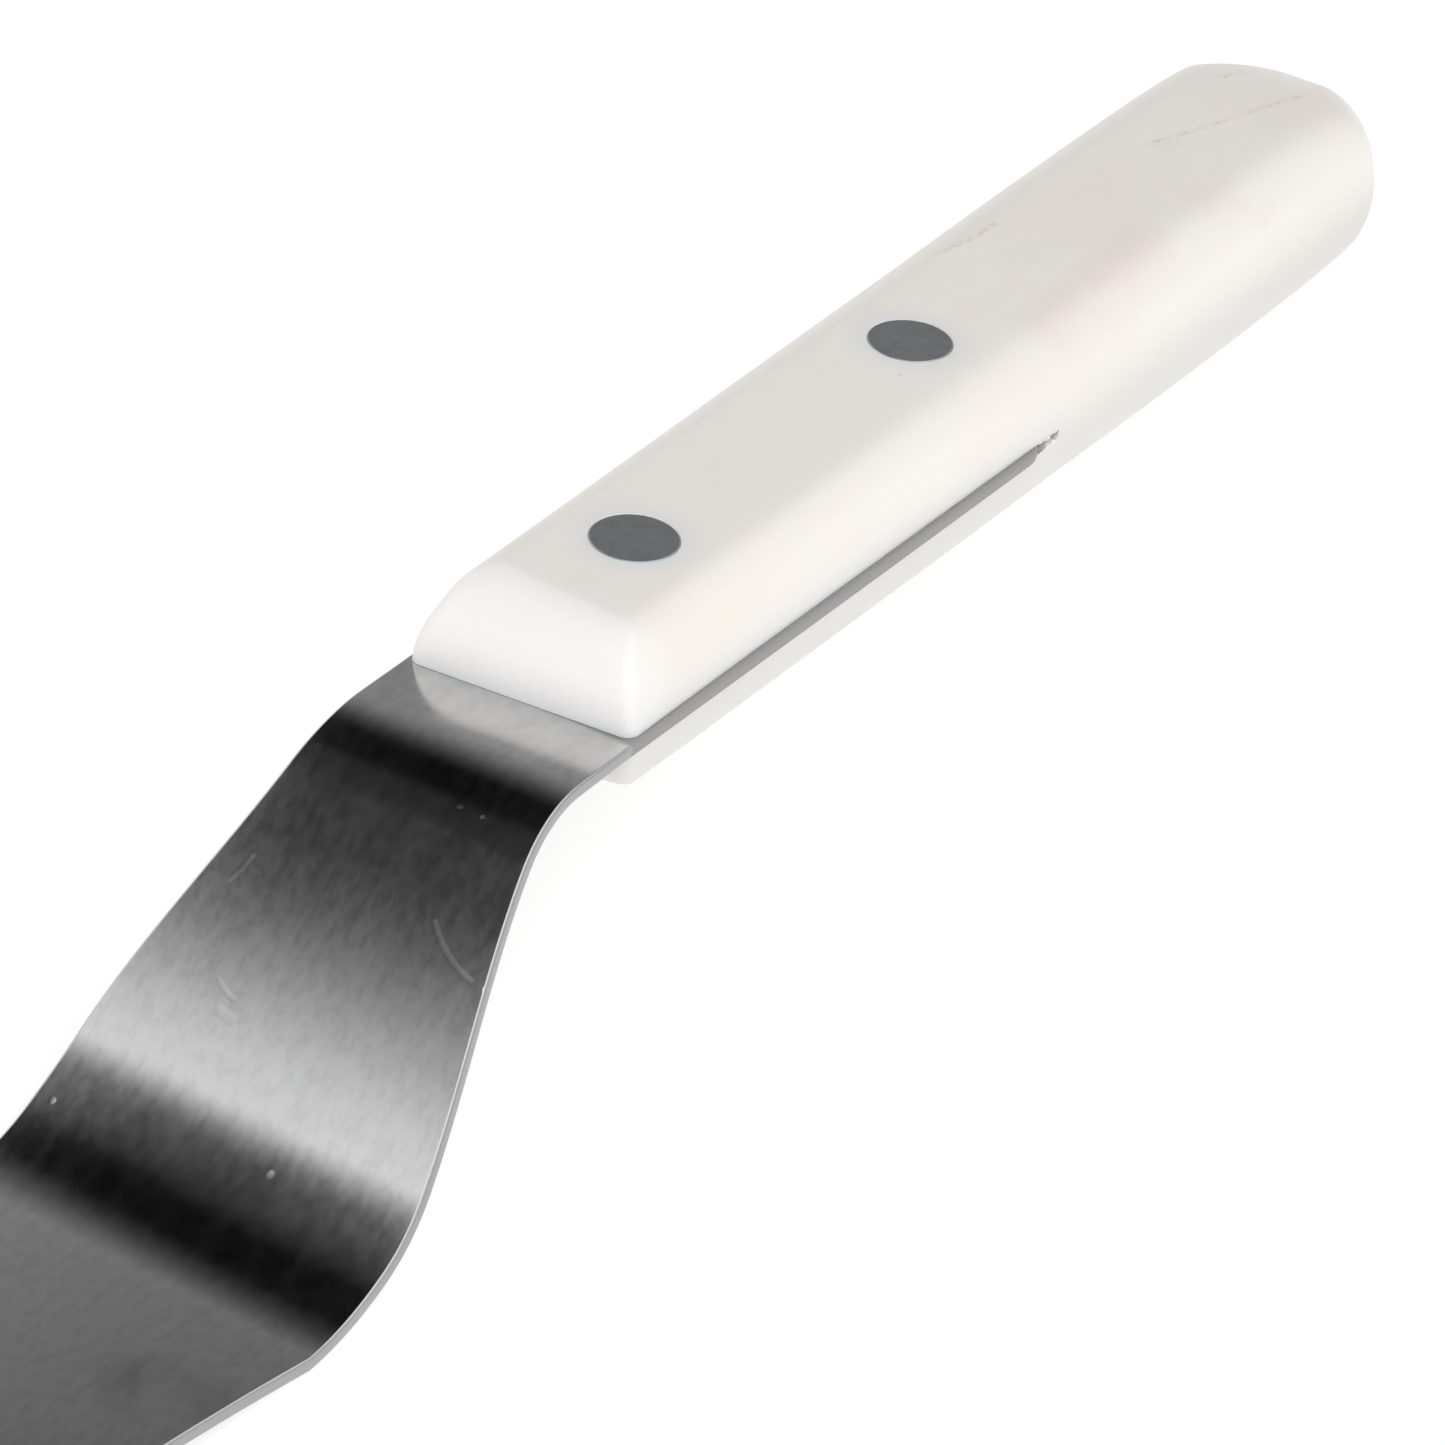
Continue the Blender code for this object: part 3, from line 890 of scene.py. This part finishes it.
def skin(bm: bmesh.types.BMesh, rings: Sequence[Ring]) -> list[list[bmesh.types.BMVert]]:
    """Join closed rings of points with quads.

    Args:
        bm: The mesh that gets them.
        rings: Rings of as many points each.

    Returns:
        The vertices of each ring.
    """
    loops = [[bm.verts.new(point) for point in ring] for ring in rings]
    for first, second in zip(loops, loops[1:]):
        for i, vertex in enumerate(first):
            j = (i + 1) % len(first)
            bm.faces.new((vertex, first[j], second[j], second[i]))
    return loops


class Workshop:
    """Turns meshes into named pieces that stand in the knife's resting place."""

    crease_angle: float = math.radians(32)

    def __init__(self, rest: Rest) -> None:
        """Keep the resting place that every piece gets."""
        self.rest = rest

    def piece(self, name: str, bm: bmesh.types.BMesh, material: bpy.types.Material) -> bpy.types.Object:
        """A smooth-shaded object with crisp creases.

        Args:
            name: The piece's name.
            bm: Its mesh, which is used up.
            material: Its finish.

        Returns:
            The object, standing in its place.
        """
        bmesh.ops.recalc_face_normals(bm, faces=bm.faces)
        if bm.calc_volume(signed=True) < 0:
            bmesh.ops.reverse_faces(bm, faces=bm.faces)
        bm.transform(self.rest.matrix)
        mesh = bpy.data.meshes.new(name)
        bm.to_mesh(mesh)
        bm.free()
        mesh.materials.append(material)
        made = bpy.data.objects.new(name, mesh)
        bpy.context.scene.collection.objects.link(made)
        self.smooth(made)
        return made

    def smooth(self, made: bpy.types.Object) -> None:
        """Smooth shading with crisp creases."""
        made.data.shade_smooth()
        made.data.set_sharp_from_angle(angle=self.crease_angle)

    def cut(self, target: bpy.types.Object, cutter: bmesh.types.BMesh, operation: str) -> None:
        """Cut one mesh with another, at once.

        Args:
            target: The object to cut.
            cutter: The cutter's mesh, which is used up.
            operation: DIFFERENCE or INTERSECT.
        """
        tool = self.piece(target.name + "_cutter", cutter, target.data.materials[0])
        change = target.modifiers.new("cut", "BOOLEAN")
        change.operation, change.solver, change.object = operation, "EXACT", tool
        bpy.context.view_layer.update()
        shaped = target.evaluated_get(bpy.context.evaluated_depsgraph_get())
        mesh = bpy.data.meshes.new_from_object(shaped)
        target.modifiers.remove(change)
        worn_out, target.data = target.data, mesh
        bpy.data.meshes.remove(worn_out)
        tool_mesh = tool.data
        bpy.data.objects.remove(tool)
        bpy.data.meshes.remove(tool_mesh)
        self.smooth(target)


# ---------------------------------------------------------------- handle

@dataclass
class Handle:
    """Slotted bone handle: six-sided with rounded corners, a ground front and a rounded butt."""

    length: float = 0.1121
    top: float = 0.0069
    front_thickness: float = 0.0129
    butt_thickness: float = 0.0140
    front: float = 0.0126
    front_half_width: float = 0.0087
    butt_half_width: float = 0.01015
    front_flat: float = 0.0064
    butt_flat: float = 0.0081
    front_edge: float = 0.0026
    butt_edge: float = 0.0054
    side_edge: float = 0.0090
    nose_edge: float = 0.0008
    slant_left: float = 0.0047
    slant_right: float = 0.0022
    slant_below: float = 0.0041
    facet_curve: float = 2.4
    skew: float = 0.098
    lean_fade: float = 2.2
    flat_flare: float = 1.3
    crowding: float = 1.35
    butt_plan: float = 0.0090
    butt_side: float = 0.0208
    plan_power: float = 1.25
    side_power: float = 2.75
    body_stations: int = 80
    butt_stations: int = 44
    nose_stations: int = 6
    arc_steps: int = 12
    side_steps: int = 10

    @property
    def butt(self) -> float:
        """Place of the handle's rear end."""
        return self.front - self.length

    def along(self, x: float) -> float:
        """Share of the handle's length behind its front."""
        return min(max((self.front - x) / self.length, 0.0), 1.0)

    def flare(self, x: float) -> float:
        """Share of the flare from front to butt: quick at the front, level at the butt."""
        return math.sin(math.pi / 2 * self.along(x))

    def half_width(self, x: float) -> float:
        """Half the width at mid height, before the butt's rounding."""
        return between(self.front_half_width, self.butt_half_width, self.flare(x))

    def bottom(self, x: float) -> float:
        """Height of the flat bottom face, before the butt's rounding."""
        return self.top - between(self.front_thickness, self.butt_thickness, self.flare(x))

    def kept(self, x: float, length: float, power: float) -> float:
        """Share of its full width or height that the butt keeps at x, along a superellipse."""
        past = min(max(1 - (x - self.butt) / length, 0.0), 1.0)
        return (1 - past ** power) ** (1 / power)

    def section(self, x: float, inset: float = 0.0) -> Ring:
        """One section of the handle.

        Args:
            x: Where it is cut.
            inset: How far it lies inside the full section.

        Returns:
            Points of (y, z), down the right side and up the left, in pairs of the same height.
        """
        share = ease(self.flat_flare * self.along(x))
        narrow = self.kept(x, self.butt_plan, self.plan_power)
        half_width = (self.half_width(x) - inset) * narrow
        flat = (between(self.front_flat, self.butt_flat, share) - inset) * narrow
        middle = (self.top + self.bottom(x)) / 2
        height = (self.top - middle - inset) * self.kept(x, self.butt_side, self.side_power)
        edge = between(self.front_edge, self.butt_edge, share)
        top, side, bottom = Vector((flat, height)), Vector((half_width, 0.0)), Vector((flat, -height))
        upper = corner_arc(Vector((-flat, height)), top, side, edge, self.arc_steps)
        flank = corner_arc(top, side, bottom, self.side_edge, self.arc_steps)
        lower = corner_arc(side, bottom, Vector((-flat, -height)), edge, self.arc_steps)
        right = upper + straight(upper[-1], flank[0], self.side_steps) + flank
        right += straight(flank[-1], lower[0], self.side_steps) + lower
        right = [Vector((point.x, point.y + middle)) for point in right]
        return right + [Vector((-point.x, point.y)) for point in reversed(right)]

    def lean(self, y: float, z: float) -> float:
        """How far the ground front stands behind a plain square one.

        Args:
            y: Place across the handle.
            z: Height above the tang's middle.

        Returns:
            The distance.
        """
        across = y / (2 * self.front_half_width) + 0.5
        slant = between(self.slant_left, self.slant_right, across) if z > 0 else self.slant_below
        reach = self.top if z > 0 else -self.bottom(self.front)
        return slant * min(abs(z) / reach, 1.0) ** self.facet_curve + self.skew * y

    def ring(self, x: float, front_share: float, inset: float = 0.0) -> Ring:
        """One ring of the block.

        Args:
            x: Where its section is taken.
            front_share: How much of the front's lean it follows.
            inset: How far it lies inside the full section.

        Returns:
            Its points.
        """
        points = self.section(x, inset)
        return [Vector((x - front_share * self.lean(y, z), y, z)) for y, z in points]

    def block(self) -> bmesh.types.BMesh:
        """The solid block, before it is slotted and bored.

        Returns:
            Its mesh.
        """
        rings = []
        for step in range(self.nose_stations + 1):
            turn = math.pi / 2 * (1 - step / self.nose_stations)
            x = self.front - self.nose_edge * (1 - math.sin(turn))
            rings.append(self.ring(x, 1.0, self.nose_edge * (1 - math.cos(turn))))
        start = self.front - self.nose_edge
        butt_length = max(self.butt_plan, self.butt_side)
        end = self.butt + butt_length
        for step in range(1, self.body_stations + 1):
            x = between(start, end, (step / self.body_stations) ** self.crowding)
            rings.append(self.ring(x, 1 - ease((start - x) / (self.lean_fade * self.slant_left))))
        for step in range(1, self.butt_stations):
            turn = math.pi / 2 * step / self.butt_stations
            rings.append(self.ring(end - butt_length * math.sin(turn), 0.0))
        bm = bmesh.new()
        loops = skin(bm, rings)
        first, last = loops[0], loops[-1]
        for i in range(len(first) // 2 - 1):
            bm.faces.new((first[i], first[i + 1], first[-2 - i], first[-1 - i]))
        pole = bm.verts.new((self.butt, 0.0, (self.top + self.bottom(self.butt)) / 2))
        for i, vertex in enumerate(last):
            bm.faces.new((vertex, last[(i + 1) % len(last)], pole))
        return bm


# ---------------------------------------------------------------- blade

@dataclass
class Blade:
    """Cranked sheet: tang, flared crank, tapered flat blade and round tip."""

    handle: Handle
    thickness: float = 0.0010
    tip_thickness: float = 0.0006
    edge: float = 0.00020
    edge_of_thickness: float = 0.3
    edge_of_width: float = 0.5
    tang_reach: float = 0.0402
    tang_corner: float = 0.0030
    recess_front: float = 0.00025
    recess_rear: float = 0.00004
    neck: float = 0.0054
    drop: float = 0.0216
    angle: float = math.radians(42.9)
    bow: float = math.radians(3.2)
    upper_bend: float = 0.0100
    lower_bend: float = 0.0168
    flare_start: float = 0.0051
    flare_length: float = 0.0338
    shoulder: float = 0.01364
    tip_half_width: float = 0.0085
    flat_length: float = 0.0730
    taper_power: float = 2.5
    squared_tip: float = 0.3
    straight_steps: int = 40
    bend_steps: int = 48
    flat_steps: int = 60
    tip_steps: int = 44
    edge_steps: int = 4

    @property
    def tang_end(self) -> float:
        """Place of the tang's rear end."""
        return -self.tang_reach

    def tang_half_width(self, x: float) -> float:
        """Half-width of the tang, round its rear corners.

        Args:
            x: Place along the handle.

        Returns:
            Half the tang's width there.
        """
        share = (x - self.tang_end) / (self.handle.front - self.tang_end)
        recess = between(self.recess_rear, self.recess_front, share)
        short = max(self.tang_corner - (x - self.tang_end), 0.0)
        corner = self.tang_corner - math.sqrt(max(self.tang_corner ** 2 - short ** 2, 0.0))
        return self.handle.half_width(x) - recess - corner

    def half_width(self, distance: float, x: float, flat_start: float) -> float:
        """Half-width of the sheet.

        Args:
            distance: How far along the sheet from its tang's end.
            x: Place along the knife.
            flat_start: The distance at which the flat blade begins.

        Returns:
            Half the sheet's width there.
        """
        if x <= self.handle.front:
            return self.tang_half_width(x)
        tang = self.handle.front - self.tang_end
        if distance <= flat_start:
            share = ease((distance - tang - self.flare_start) / self.flare_length)
            return between(self.tang_half_width(self.handle.front), self.shoulder, share)
        tip_start = flat_start + self.flat_length - self.tip_half_width
        left = max(tip_start - distance, 0.0) / (tip_start - flat_start)
        past = max(distance - tip_start, 0.0) / self.tip_half_width
        width = between(self.tip_half_width, self.shoulder, left ** self.taper_power)
        return width * math.sqrt(max(1 - past * past, 0.0))

    def shares(self) -> dict[str, list[float]]:
        """Where along each run of the sheet its stations stand.

        Returns:
            Shares of each run's length, by the run's name.
        """
        length = self.handle.front - self.tang_end + self.neck
        corner = [
            self.tang_corner * (1 - math.cos(math.pi / 2 * step / self.tip_steps)) / length
            for step in range(self.tip_steps + 1)
        ]
        even = [step / self.straight_steps for step in range(1, self.straight_steps + 1)]
        tip = 1 - self.tip_half_width / self.flat_length
        steps = list(range(1, self.tip_steps)) + [self.tip_steps - self.squared_tip]
        turns = [math.pi / 2 * step / self.tip_steps for step in steps]
        return {
            "tang": corner + [between(corner[-1], 1.0, share) for share in even],
            "bend": [step / self.bend_steps for step in range(1, self.bend_steps + 1)],
            "ramp": even,
            "flat": [tip * step / self.flat_steps for step in range(1, self.flat_steps + 1)]
            + [tip + (1 - tip) * math.sin(turn) for turn in turns],
        }

    def stations(self) -> list[tuple[float, float, float, float]]:
        """Centre line of the sheet.

        Returns:
            Its stations from tang to tip, as (distance, x, z, slope).
        """
        shares = self.shares()
        top, foot = self.angle - self.bow, self.angle + self.bow
        arc_drop = self.upper_bend * (1 - math.cos(top)) + self.lower_bend * (1 - math.cos(foot))
        ramp = (self.drop - arc_drop) * (foot - top) / (math.cos(top) - math.cos(foot))
        runs = (
            (self.handle.front + self.neck - self.tang_end, 0.0, 0.0, shares["tang"]),
            (self.upper_bend * top, 0.0, -top, shares["bend"]),
            (ramp, -top, -foot, shares["ramp"]),
            (self.lower_bend * foot, -foot, 0.0, shares["bend"]),
            (self.flat_length, 0.0, 0.0, shares["flat"]),
        )
        found = []
        distance, x, z = 0.0, self.tang_end, 0.0
        for length, slope_in, slope_out, steps in runs:
            bend = slope_out - slope_in
            for share in steps:
                slope = slope_in + bend * share
                if bend:
                    radius = length / bend
                    step_x = radius * (math.sin(slope) - math.sin(slope_in))
                    step_z = radius * (math.cos(slope_in) - math.cos(slope))
                else:
                    step_x = length * share * math.cos(slope)
                    step_z = length * share * math.sin(slope)
                found.append((distance + length * share, x + step_x, z + step_z, slope))
            distance, x, z = found[-1][:3]
        return found

    def section(self, half_width: float, upper: float, lower: float) -> Ring:
        """Flat section with softly rounded edges.

        Args:
            half_width: Half its width.
            upper: Its upper face's height.
            lower: Its lower face's height.

        Returns:
            Points of (y, height).
        """
        edge = min(self.edge, self.edge_of_thickness * (upper - lower), self.edge_of_width * half_width)
        turns = [math.pi / 2 * step / self.edge_steps for step in range(self.edge_steps + 1)]
        corner = [(half_width - edge * (1 - math.sin(turn)), edge * (1 - math.cos(turn))) for turn in turns]
        right = [Vector((y, upper - inset)) for y, inset in corner]
        right += [Vector((y, lower + inset)) for y, inset in reversed(corner)]
        return right + [Vector((-point.x, point.y)) for point in reversed(right)]

    def sheet(self) -> bmesh.types.BMesh:
        """The cranked sheet, before its rivet holes.

        Returns:
            Its mesh.
        """
        stations = self.stations()
        flat_start = stations[-1 - len(self.shares()["flat"])][0]
        rings = []
        for distance, x, z, slope in stations:
            ground = ease((distance - flat_start) / self.flat_length)
            lower = -self.thickness / 2
            upper = lower + between(self.thickness, self.tip_thickness, ground)
            points = self.section(self.half_width(distance, x, flat_start), upper, lower)
            rings.append([
                Vector((x - height * math.sin(slope), y, z + height * math.cos(slope)))
                for y, height in points
            ])
        bm = bmesh.new()
        loops = skin(bm, rings)
        bm.faces.new(loops[0])
        bm.faces.new(loops[-1])
        return bm


# ---------------------------------------------------------------- rivets, kerf and its filler

class RivetPlace(Enum):
    """Where along the handle a rivet sits."""

    FRONT = "front"
    REAR = "rear"


@dataclass
class Rivets:
    """Two compression rivets, each a headed tube and a headed shank, flush with the bone."""

    handle: Handle
    spacing: float = 0.0351
    head_radius: float = 0.0030
    head_thickness: float = 0.0018
    tube_radius: float = 0.0020
    bore_radius: float = 0.0013
    roof: float = 0.0001
    mouth_gap: float = 0.0006
    nose_chamfer: float = 0.0003
    softened_edge: float = 0.00006
    clearance: float = 0.00002
    segments: int = 96

    def x(self, place: RivetPlace) -> float:
        """Place of a rivet's axis."""
        return 0.0 if place is RivetPlace.FRONT else -self.spacing

    def turned(self, profile: Sequence[tuple[float, float]], x: float) -> bmesh.types.BMesh:
        """A round solid.

        Args:
            profile: Points of (radius, z), from one end's rim to the other's.
            x: Place of its axis.

        Returns:
            Its mesh.
        """
        turns = [2 * math.pi * step / self.segments for step in range(self.segments)]
        rings = [
            [Vector((x + radius * math.cos(turn), radius * math.sin(turn), z)) for turn in turns]
            for radius, z in profile
        ]
        bm = bmesh.new()
        loops = skin(bm, rings)
        bm.faces.new(loops[0])
        bm.faces.new(loops[-1])
        return bm

    def hole(self, place: RivetPlace) -> bmesh.types.BMesh:
        """Through hole for the tube, with a counterbore for each head.

        Args:
            place: Which rivet it belongs to.

        Returns:
            Its mesh.
        """
        x, gap = self.x(place), self.clearance
        top, bottom = self.handle.top, self.handle.bottom(x)
        head, tube = self.head_radius + gap, self.tube_radius + gap
        seat, clear = self.head_thickness + gap, self.head_thickness
        soft = self.softened_edge
        return self.turned(
            [
                (head + clear + soft, top + clear), (head, top - soft), (head, top - seat),
                (tube, top - seat), (tube, bottom + seat),
                (head, bottom + seat), (head, bottom + soft), (head + clear + soft, bottom - clear),
            ], x)

    def tube(self, place: RivetPlace) -> bmesh.types.BMesh:
        """Upper half, whose bore takes the shank.

        Args:
            place: Which rivet it belongs to.

        Returns:
            Its mesh.
        """
        x, head, soft = self.x(place), self.head_radius, self.softened_edge
        top, seat = self.handle.top, self.handle.top - self.head_thickness
        mouth = self.handle.bottom(x) + self.head_thickness + self.mouth_gap
        bore_end = seat - self.roof
        return self.turned(
            [
                (head - soft, top), (head, top - soft), (head, seat), (self.tube_radius, seat),
                (self.tube_radius, mouth + self.nose_chamfer), (self.tube_radius - self.nose_chamfer, mouth),
                (self.bore_radius, mouth), (self.bore_radius, bore_end),
            ], x)

    def shank(self, place: RivetPlace) -> bmesh.types.BMesh:
        """Lower half, driven up into the tube.

        Args:
            place: Which rivet it belongs to.

        Returns:
            Its mesh.
        """
        x, head, soft = self.x(place), self.head_radius, self.softened_edge
        bottom = self.handle.bottom(x)
        seat = bottom + self.head_thickness
        nose = self.handle.top - self.head_thickness - self.roof - self.mouth_gap
        radius = self.bore_radius - self.clearance
        return self.turned(
            [
                (head - soft, bottom), (head, bottom + soft), (head, seat), (radius, seat),
                (radius, nose - self.nose_chamfer), (radius - self.nose_chamfer, nose),
            ], x)


@dataclass
class Kerf:
    """Saw kerf for the tang, and the adhesive that closes it behind the tang."""

    handle: Handle
    blade: Blade
    run_out: float = 0.0024
    saw_radius: float = 0.0400
    clearance: float = 0.00002
    side_margin: float = 0.0040
    steps: int = 120

    def end(self, y: float) -> float:
        """Rear end of the kerf, an arc of the saw's own radius."""
        rearmost = self.blade.tang_end - self.run_out
        return rearmost + self.saw_radius - math.sqrt(self.saw_radius ** 2 - y ** 2)

    def tang_end(self, y: float) -> float:
        """Rear edge of the tang, round its corners.

        Args:
            y: Place across the handle.

        Returns:
            Its place along the handle.
        """
        blade = self.blade
        flat = self.handle.half_width(blade.tang_end) - blade.recess_rear - blade.tang_corner
        past = min(max(abs(y) - flat, 0.0), blade.tang_corner)
        return blade.tang_end + blade.tang_corner - math.sqrt(blade.tang_corner ** 2 - past ** 2)

    def ys(self) -> list[float]:
        """Places across the handle at which the kerf is drawn."""
        reach = self.handle.butt_half_width + self.side_margin
        return [between(-reach, reach, step / self.steps) for step in range(self.steps + 1)]

    def plate(self, outline: Sequence[tuple[float, float]], half_height: float) -> bmesh.types.BMesh:
        """A flat plate.

        Args:
            outline: Its points of (x, y).
            half_height: Half its thickness.

        Returns:
            Its mesh.
        """
        bm = bmesh.new()
        rings = [[Vector((x, y, z)) for x, y in outline] for z in (-half_height, half_height)]
        loops = skin(bm, rings)
        bm.faces.new(loops[0])
        bm.faces.new(loops[1])
        return bm

    def cutter(self) -> bmesh.types.BMesh:
        """Plate that saws the kerf from the front.

        Returns:
            Its mesh.
        """
        ys = self.ys()
        front = self.handle.front + self.side_margin
        outline = [(self.end(y), y) for y in ys] + [(front, ys[-1]), (front, ys[0])]
        return self.plate(outline, self.blade.thickness / 2 + self.clearance)

    def filler(self) -> bmesh.types.BMesh:
        """Adhesive behind the tang, before it is trimmed to the handle's sides.

        Returns:
            Its mesh.
        """
        ys = self.ys()
        back = [(self.end(y) + self.clearance, y) for y in ys]
        front = [(self.tang_end(y) - self.clearance, y) for y in reversed(ys)]
        return self.plate(back + front, self.blade.thickness / 2 + self.clearance / 2)


# ---------------------------------------------------------------- the whole knife

@dataclass
class PaletteKnife:
    """The knife's pieces in their order of making."""

    handle: Handle = field(default_factory=Handle)

    def __post_init__(self) -> None:
        """Size the pieces that follow from the handle, and find where the knife rests."""
        self.blade = Blade(self.handle)
        self.rivets = Rivets(self.handle)
        self.kerf = Kerf(self.handle, self.blade)
        self.shop = Workshop(self.rest())

    def rest(self) -> Rest:
        """Where the frame's own pieces put the handle's frame.

        Returns:
            The tilt that the flat blade's underside has, and the place of the front rivet.
        """
        downwards = frame["record"]["mounts"][0]["axis"]
        tilt = math.asin(downwards[0])
        low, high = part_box("front_rivet_tube")
        turn = Matrix.Rotation(-tilt, 3, "Y")
        left = turn @ Vector((-self.rivets.head_radius, 0.0, self.handle.top))
        right = turn @ Vector((self.rivets.head_radius, 0.0, self.handle.top))
        return Rest(tilt, Vector((low.x - left.x, 0.0, high.z - right.z)))

    def adopt(self, made: bpy.types.Object, node: str) -> None:
        """Let a piece stand for one solid of the frame.

        Args:
            made: The piece.
            node: The solid's name.
        """
        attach(made, "root")
        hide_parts(node)
        LOG.info("%s stands for %s, %d faces", made.name, node, len(made.data.polygons))

    def build(self) -> None:
        """Make every piece."""
        rivet_places = [self.rivets.x(place) for place in RivetPlace]
        rest = self.shop.rest
        bone = Bone().material(rest, rivet_places, self.rivets.head_radius, self.blade.tang_end)
        steel = SatinSteel().material(rest, self.handle.front)
        rivet_steel = RivetSteel().material(rest)
        grit = Grit().material(rest, self.blade.tang_end)

        bone_handle = self.shop.piece("bone_handle", self.handle.block(), bone)
        filler = self.shop.piece("kerf_filler", self.handle.block(), grit)
        self.shop.cut(filler, self.kerf.filler(), "INTERSECT")
        self.shop.cut(bone_handle, self.kerf.cutter(), "DIFFERENCE")
        sheet = self.shop.piece("cranked_blade", self.blade.sheet(), steel)
        for place in RivetPlace:
            self.shop.cut(bone_handle, self.rivets.hole(place), "DIFFERENCE")
            self.shop.cut(sheet, self.rivets.hole(place), "DIFFERENCE")
        self.adopt(bone_handle, "handle")
        self.adopt(sheet, "blade")
        self.adopt(filler, "slot_filler")
        for place in RivetPlace:
            name = place.value + "_rivet"
            tube = self.shop.piece(name + "_head_tube", self.rivets.tube(place), rivet_steel)
            self.adopt(tube, name + "_tube")
            shank = self.shop.piece(name + "_head_shank", self.rivets.shank(place), rivet_steel)
            self.adopt(shank, name + "_shank")


# ---------------------------------------------------------------- studio

@dataclass
class Studio:
    """Pale floor, soft light all round and the camera."""

    rest: Rest
    floor_half_width: float = 12.0
    floor_squares: int = 8
    floor_colour: Colour = (0.45, 0.45, 0.45)
    floor_haze: Colour = (0.50, 0.50, 0.50)
    haze: Pattern = Pattern(3.0, 2, 0.5)
    haze_strength: float = 0.04
    floor_glow: float = 0.64
    eye: Direction = (0.25427, 0.14966, 0.18346)
    gaze: Direction = (-0.7344, -0.4092, -0.5415)
    rightwards: Direction = (-0.5353, 0.8397, 0.0914)
    lens_mm: float = 132.04
    sensor_mm: float = 36.0
    nearest: float = 0.01
    farthest: float = 100.0

    # Directions are angles above the horizon in front, measured over the top towards the butt.
    front_box: Span = (67.0, 49.0)
    gap_opens: Span = (88.0, 98.0)
    gap_closes: Span = (121.0, 116.0)
    gap_depth: float = 0.95
    rear_box: Span = (118.5, 149.0)
    front_glow: float = 1.25
    rear_glow: float = 0.30
    ceiling_glow: float = 0.024
    key_glow: float = 0.36
    key_overhead: float = 1.52
    key_in_front: float = 0.52
    fill_glow: float = 1.15

    # Shares of a direction that point to each side.
    key_side: Span = (-0.12, 0.20)
    fill_side: Span = (0.64, 0.84)

    def floor(self) -> bpy.types.Object:
        """A plain pale floor that glows a little, as a light table does.

        Returns:
            The floor.
        """
        def dress(graph: Graph) -> dict:
            """Nodes of the floor.

            Args:
                graph: The material's nodes.

            Returns:
                The shader's inputs.
            """
            haze = self.haze.over(graph, graph.node("ShaderNodeTexCoord", output="Object"))
            colour = graph.lay(haze * self.haze_strength, self.floor_colour, self.floor_haze)
            return {
                "Base Color": colour, "Roughness": 0.9, "Specular IOR Level": 0.0,
                "Emission Color": (1.0, 1.0, 1.0), "Emission Strength": self.floor_glow,
            }

        bm = bmesh.new()
        squares = self.floor_squares
        bmesh.ops.create_grid(bm, x_segments=squares, y_segments=squares, size=self.floor_half_width)
        mesh = bpy.data.meshes.new("floor")
        bm.to_mesh(mesh)
        bm.free()
        mesh.materials.append(new_material("pale floor", dress))
        made = bpy.data.objects.new("floor", mesh)
        bpy.context.scene.collection.objects.link(made)
        return made

    def light(self) -> None:
        """Soft boxes all round: in front, behind, to both sides, with a dark gap overhead."""
        world = bpy.data.worlds.new("studio")
        bpy.context.scene.world = world
        world.use_nodes = True
        graph = Graph(world.node_tree)
        x, y, z = graph.node("ShaderNodeTexCoord", output="Generated").parts()
        angle = graph.node("ShaderNodeMath", {"operation": "ARCTAN2"}, {0: z, 1: x})
        angle = angle * (180 / math.pi)
        gap = angle.eased(self.gap_opens) * angle.eased(self.gap_closes)
        in_front = angle.eased(self.front_box)
        glow = (1 - gap * self.gap_depth) * self.ceiling_glow
        glow = glow + in_front * self.front_glow
        glow = glow + angle.eased(self.rear_box) * self.rear_glow
        key = y.eased(self.key_side)
        fill = (y * -1).eased(self.fill_side)
        side = z * self.key_overhead + in_front * self.key_in_front + self.key_glow
        glow = glow * (1 - key) * (1 - fill) + key * side + fill * self.fill_glow
        background = world.node_tree.nodes["Background"]
        graph.feed(background.inputs["Strength"], glow)
        background.inputs["Color"].default_value = (1.0, 1.0, 1.0, 1.0)

    def camera(self) -> bpy.types.Object:
        """The camera, close above the knife's front corner.

        Returns:
            The camera.
        """
        lens = bpy.data.cameras.new("camera")
        lens.lens, lens.sensor_width = self.lens_mm, self.sensor_mm
        lens.clip_start, lens.clip_end = self.nearest, self.farthest
        made = bpy.data.objects.new("camera", lens)
        bpy.context.scene.collection.objects.link(made)
        back = -Vector(self.gaze).normalized()
        up = back.cross(Vector(self.rightwards)).normalized()
        axes = Matrix((up.cross(back), up, back)).transposed().to_4x4()
        made.matrix_world = self.rest.matrix @ Matrix.Translation(self.eye) @ axes
        bpy.context.scene.camera = made
        return made

    def build(self) -> None:
        """Set the whole studio up."""
        self.floor()
        self.light()
        self.camera()
        bpy.context.scene.view_settings.view_transform = "Standard"
        LOG.info("studio is lit and the camera stands")


def main() -> None:
    """Build the knife and its studio."""
    logging.basicConfig(level=logging.INFO, format="%(name)s: %(message)s")
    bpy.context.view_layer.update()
    knife = PaletteKnife()
    Studio(knife.shop.rest).build()
    knife.build()


if __name__ == "__main__":
    main()
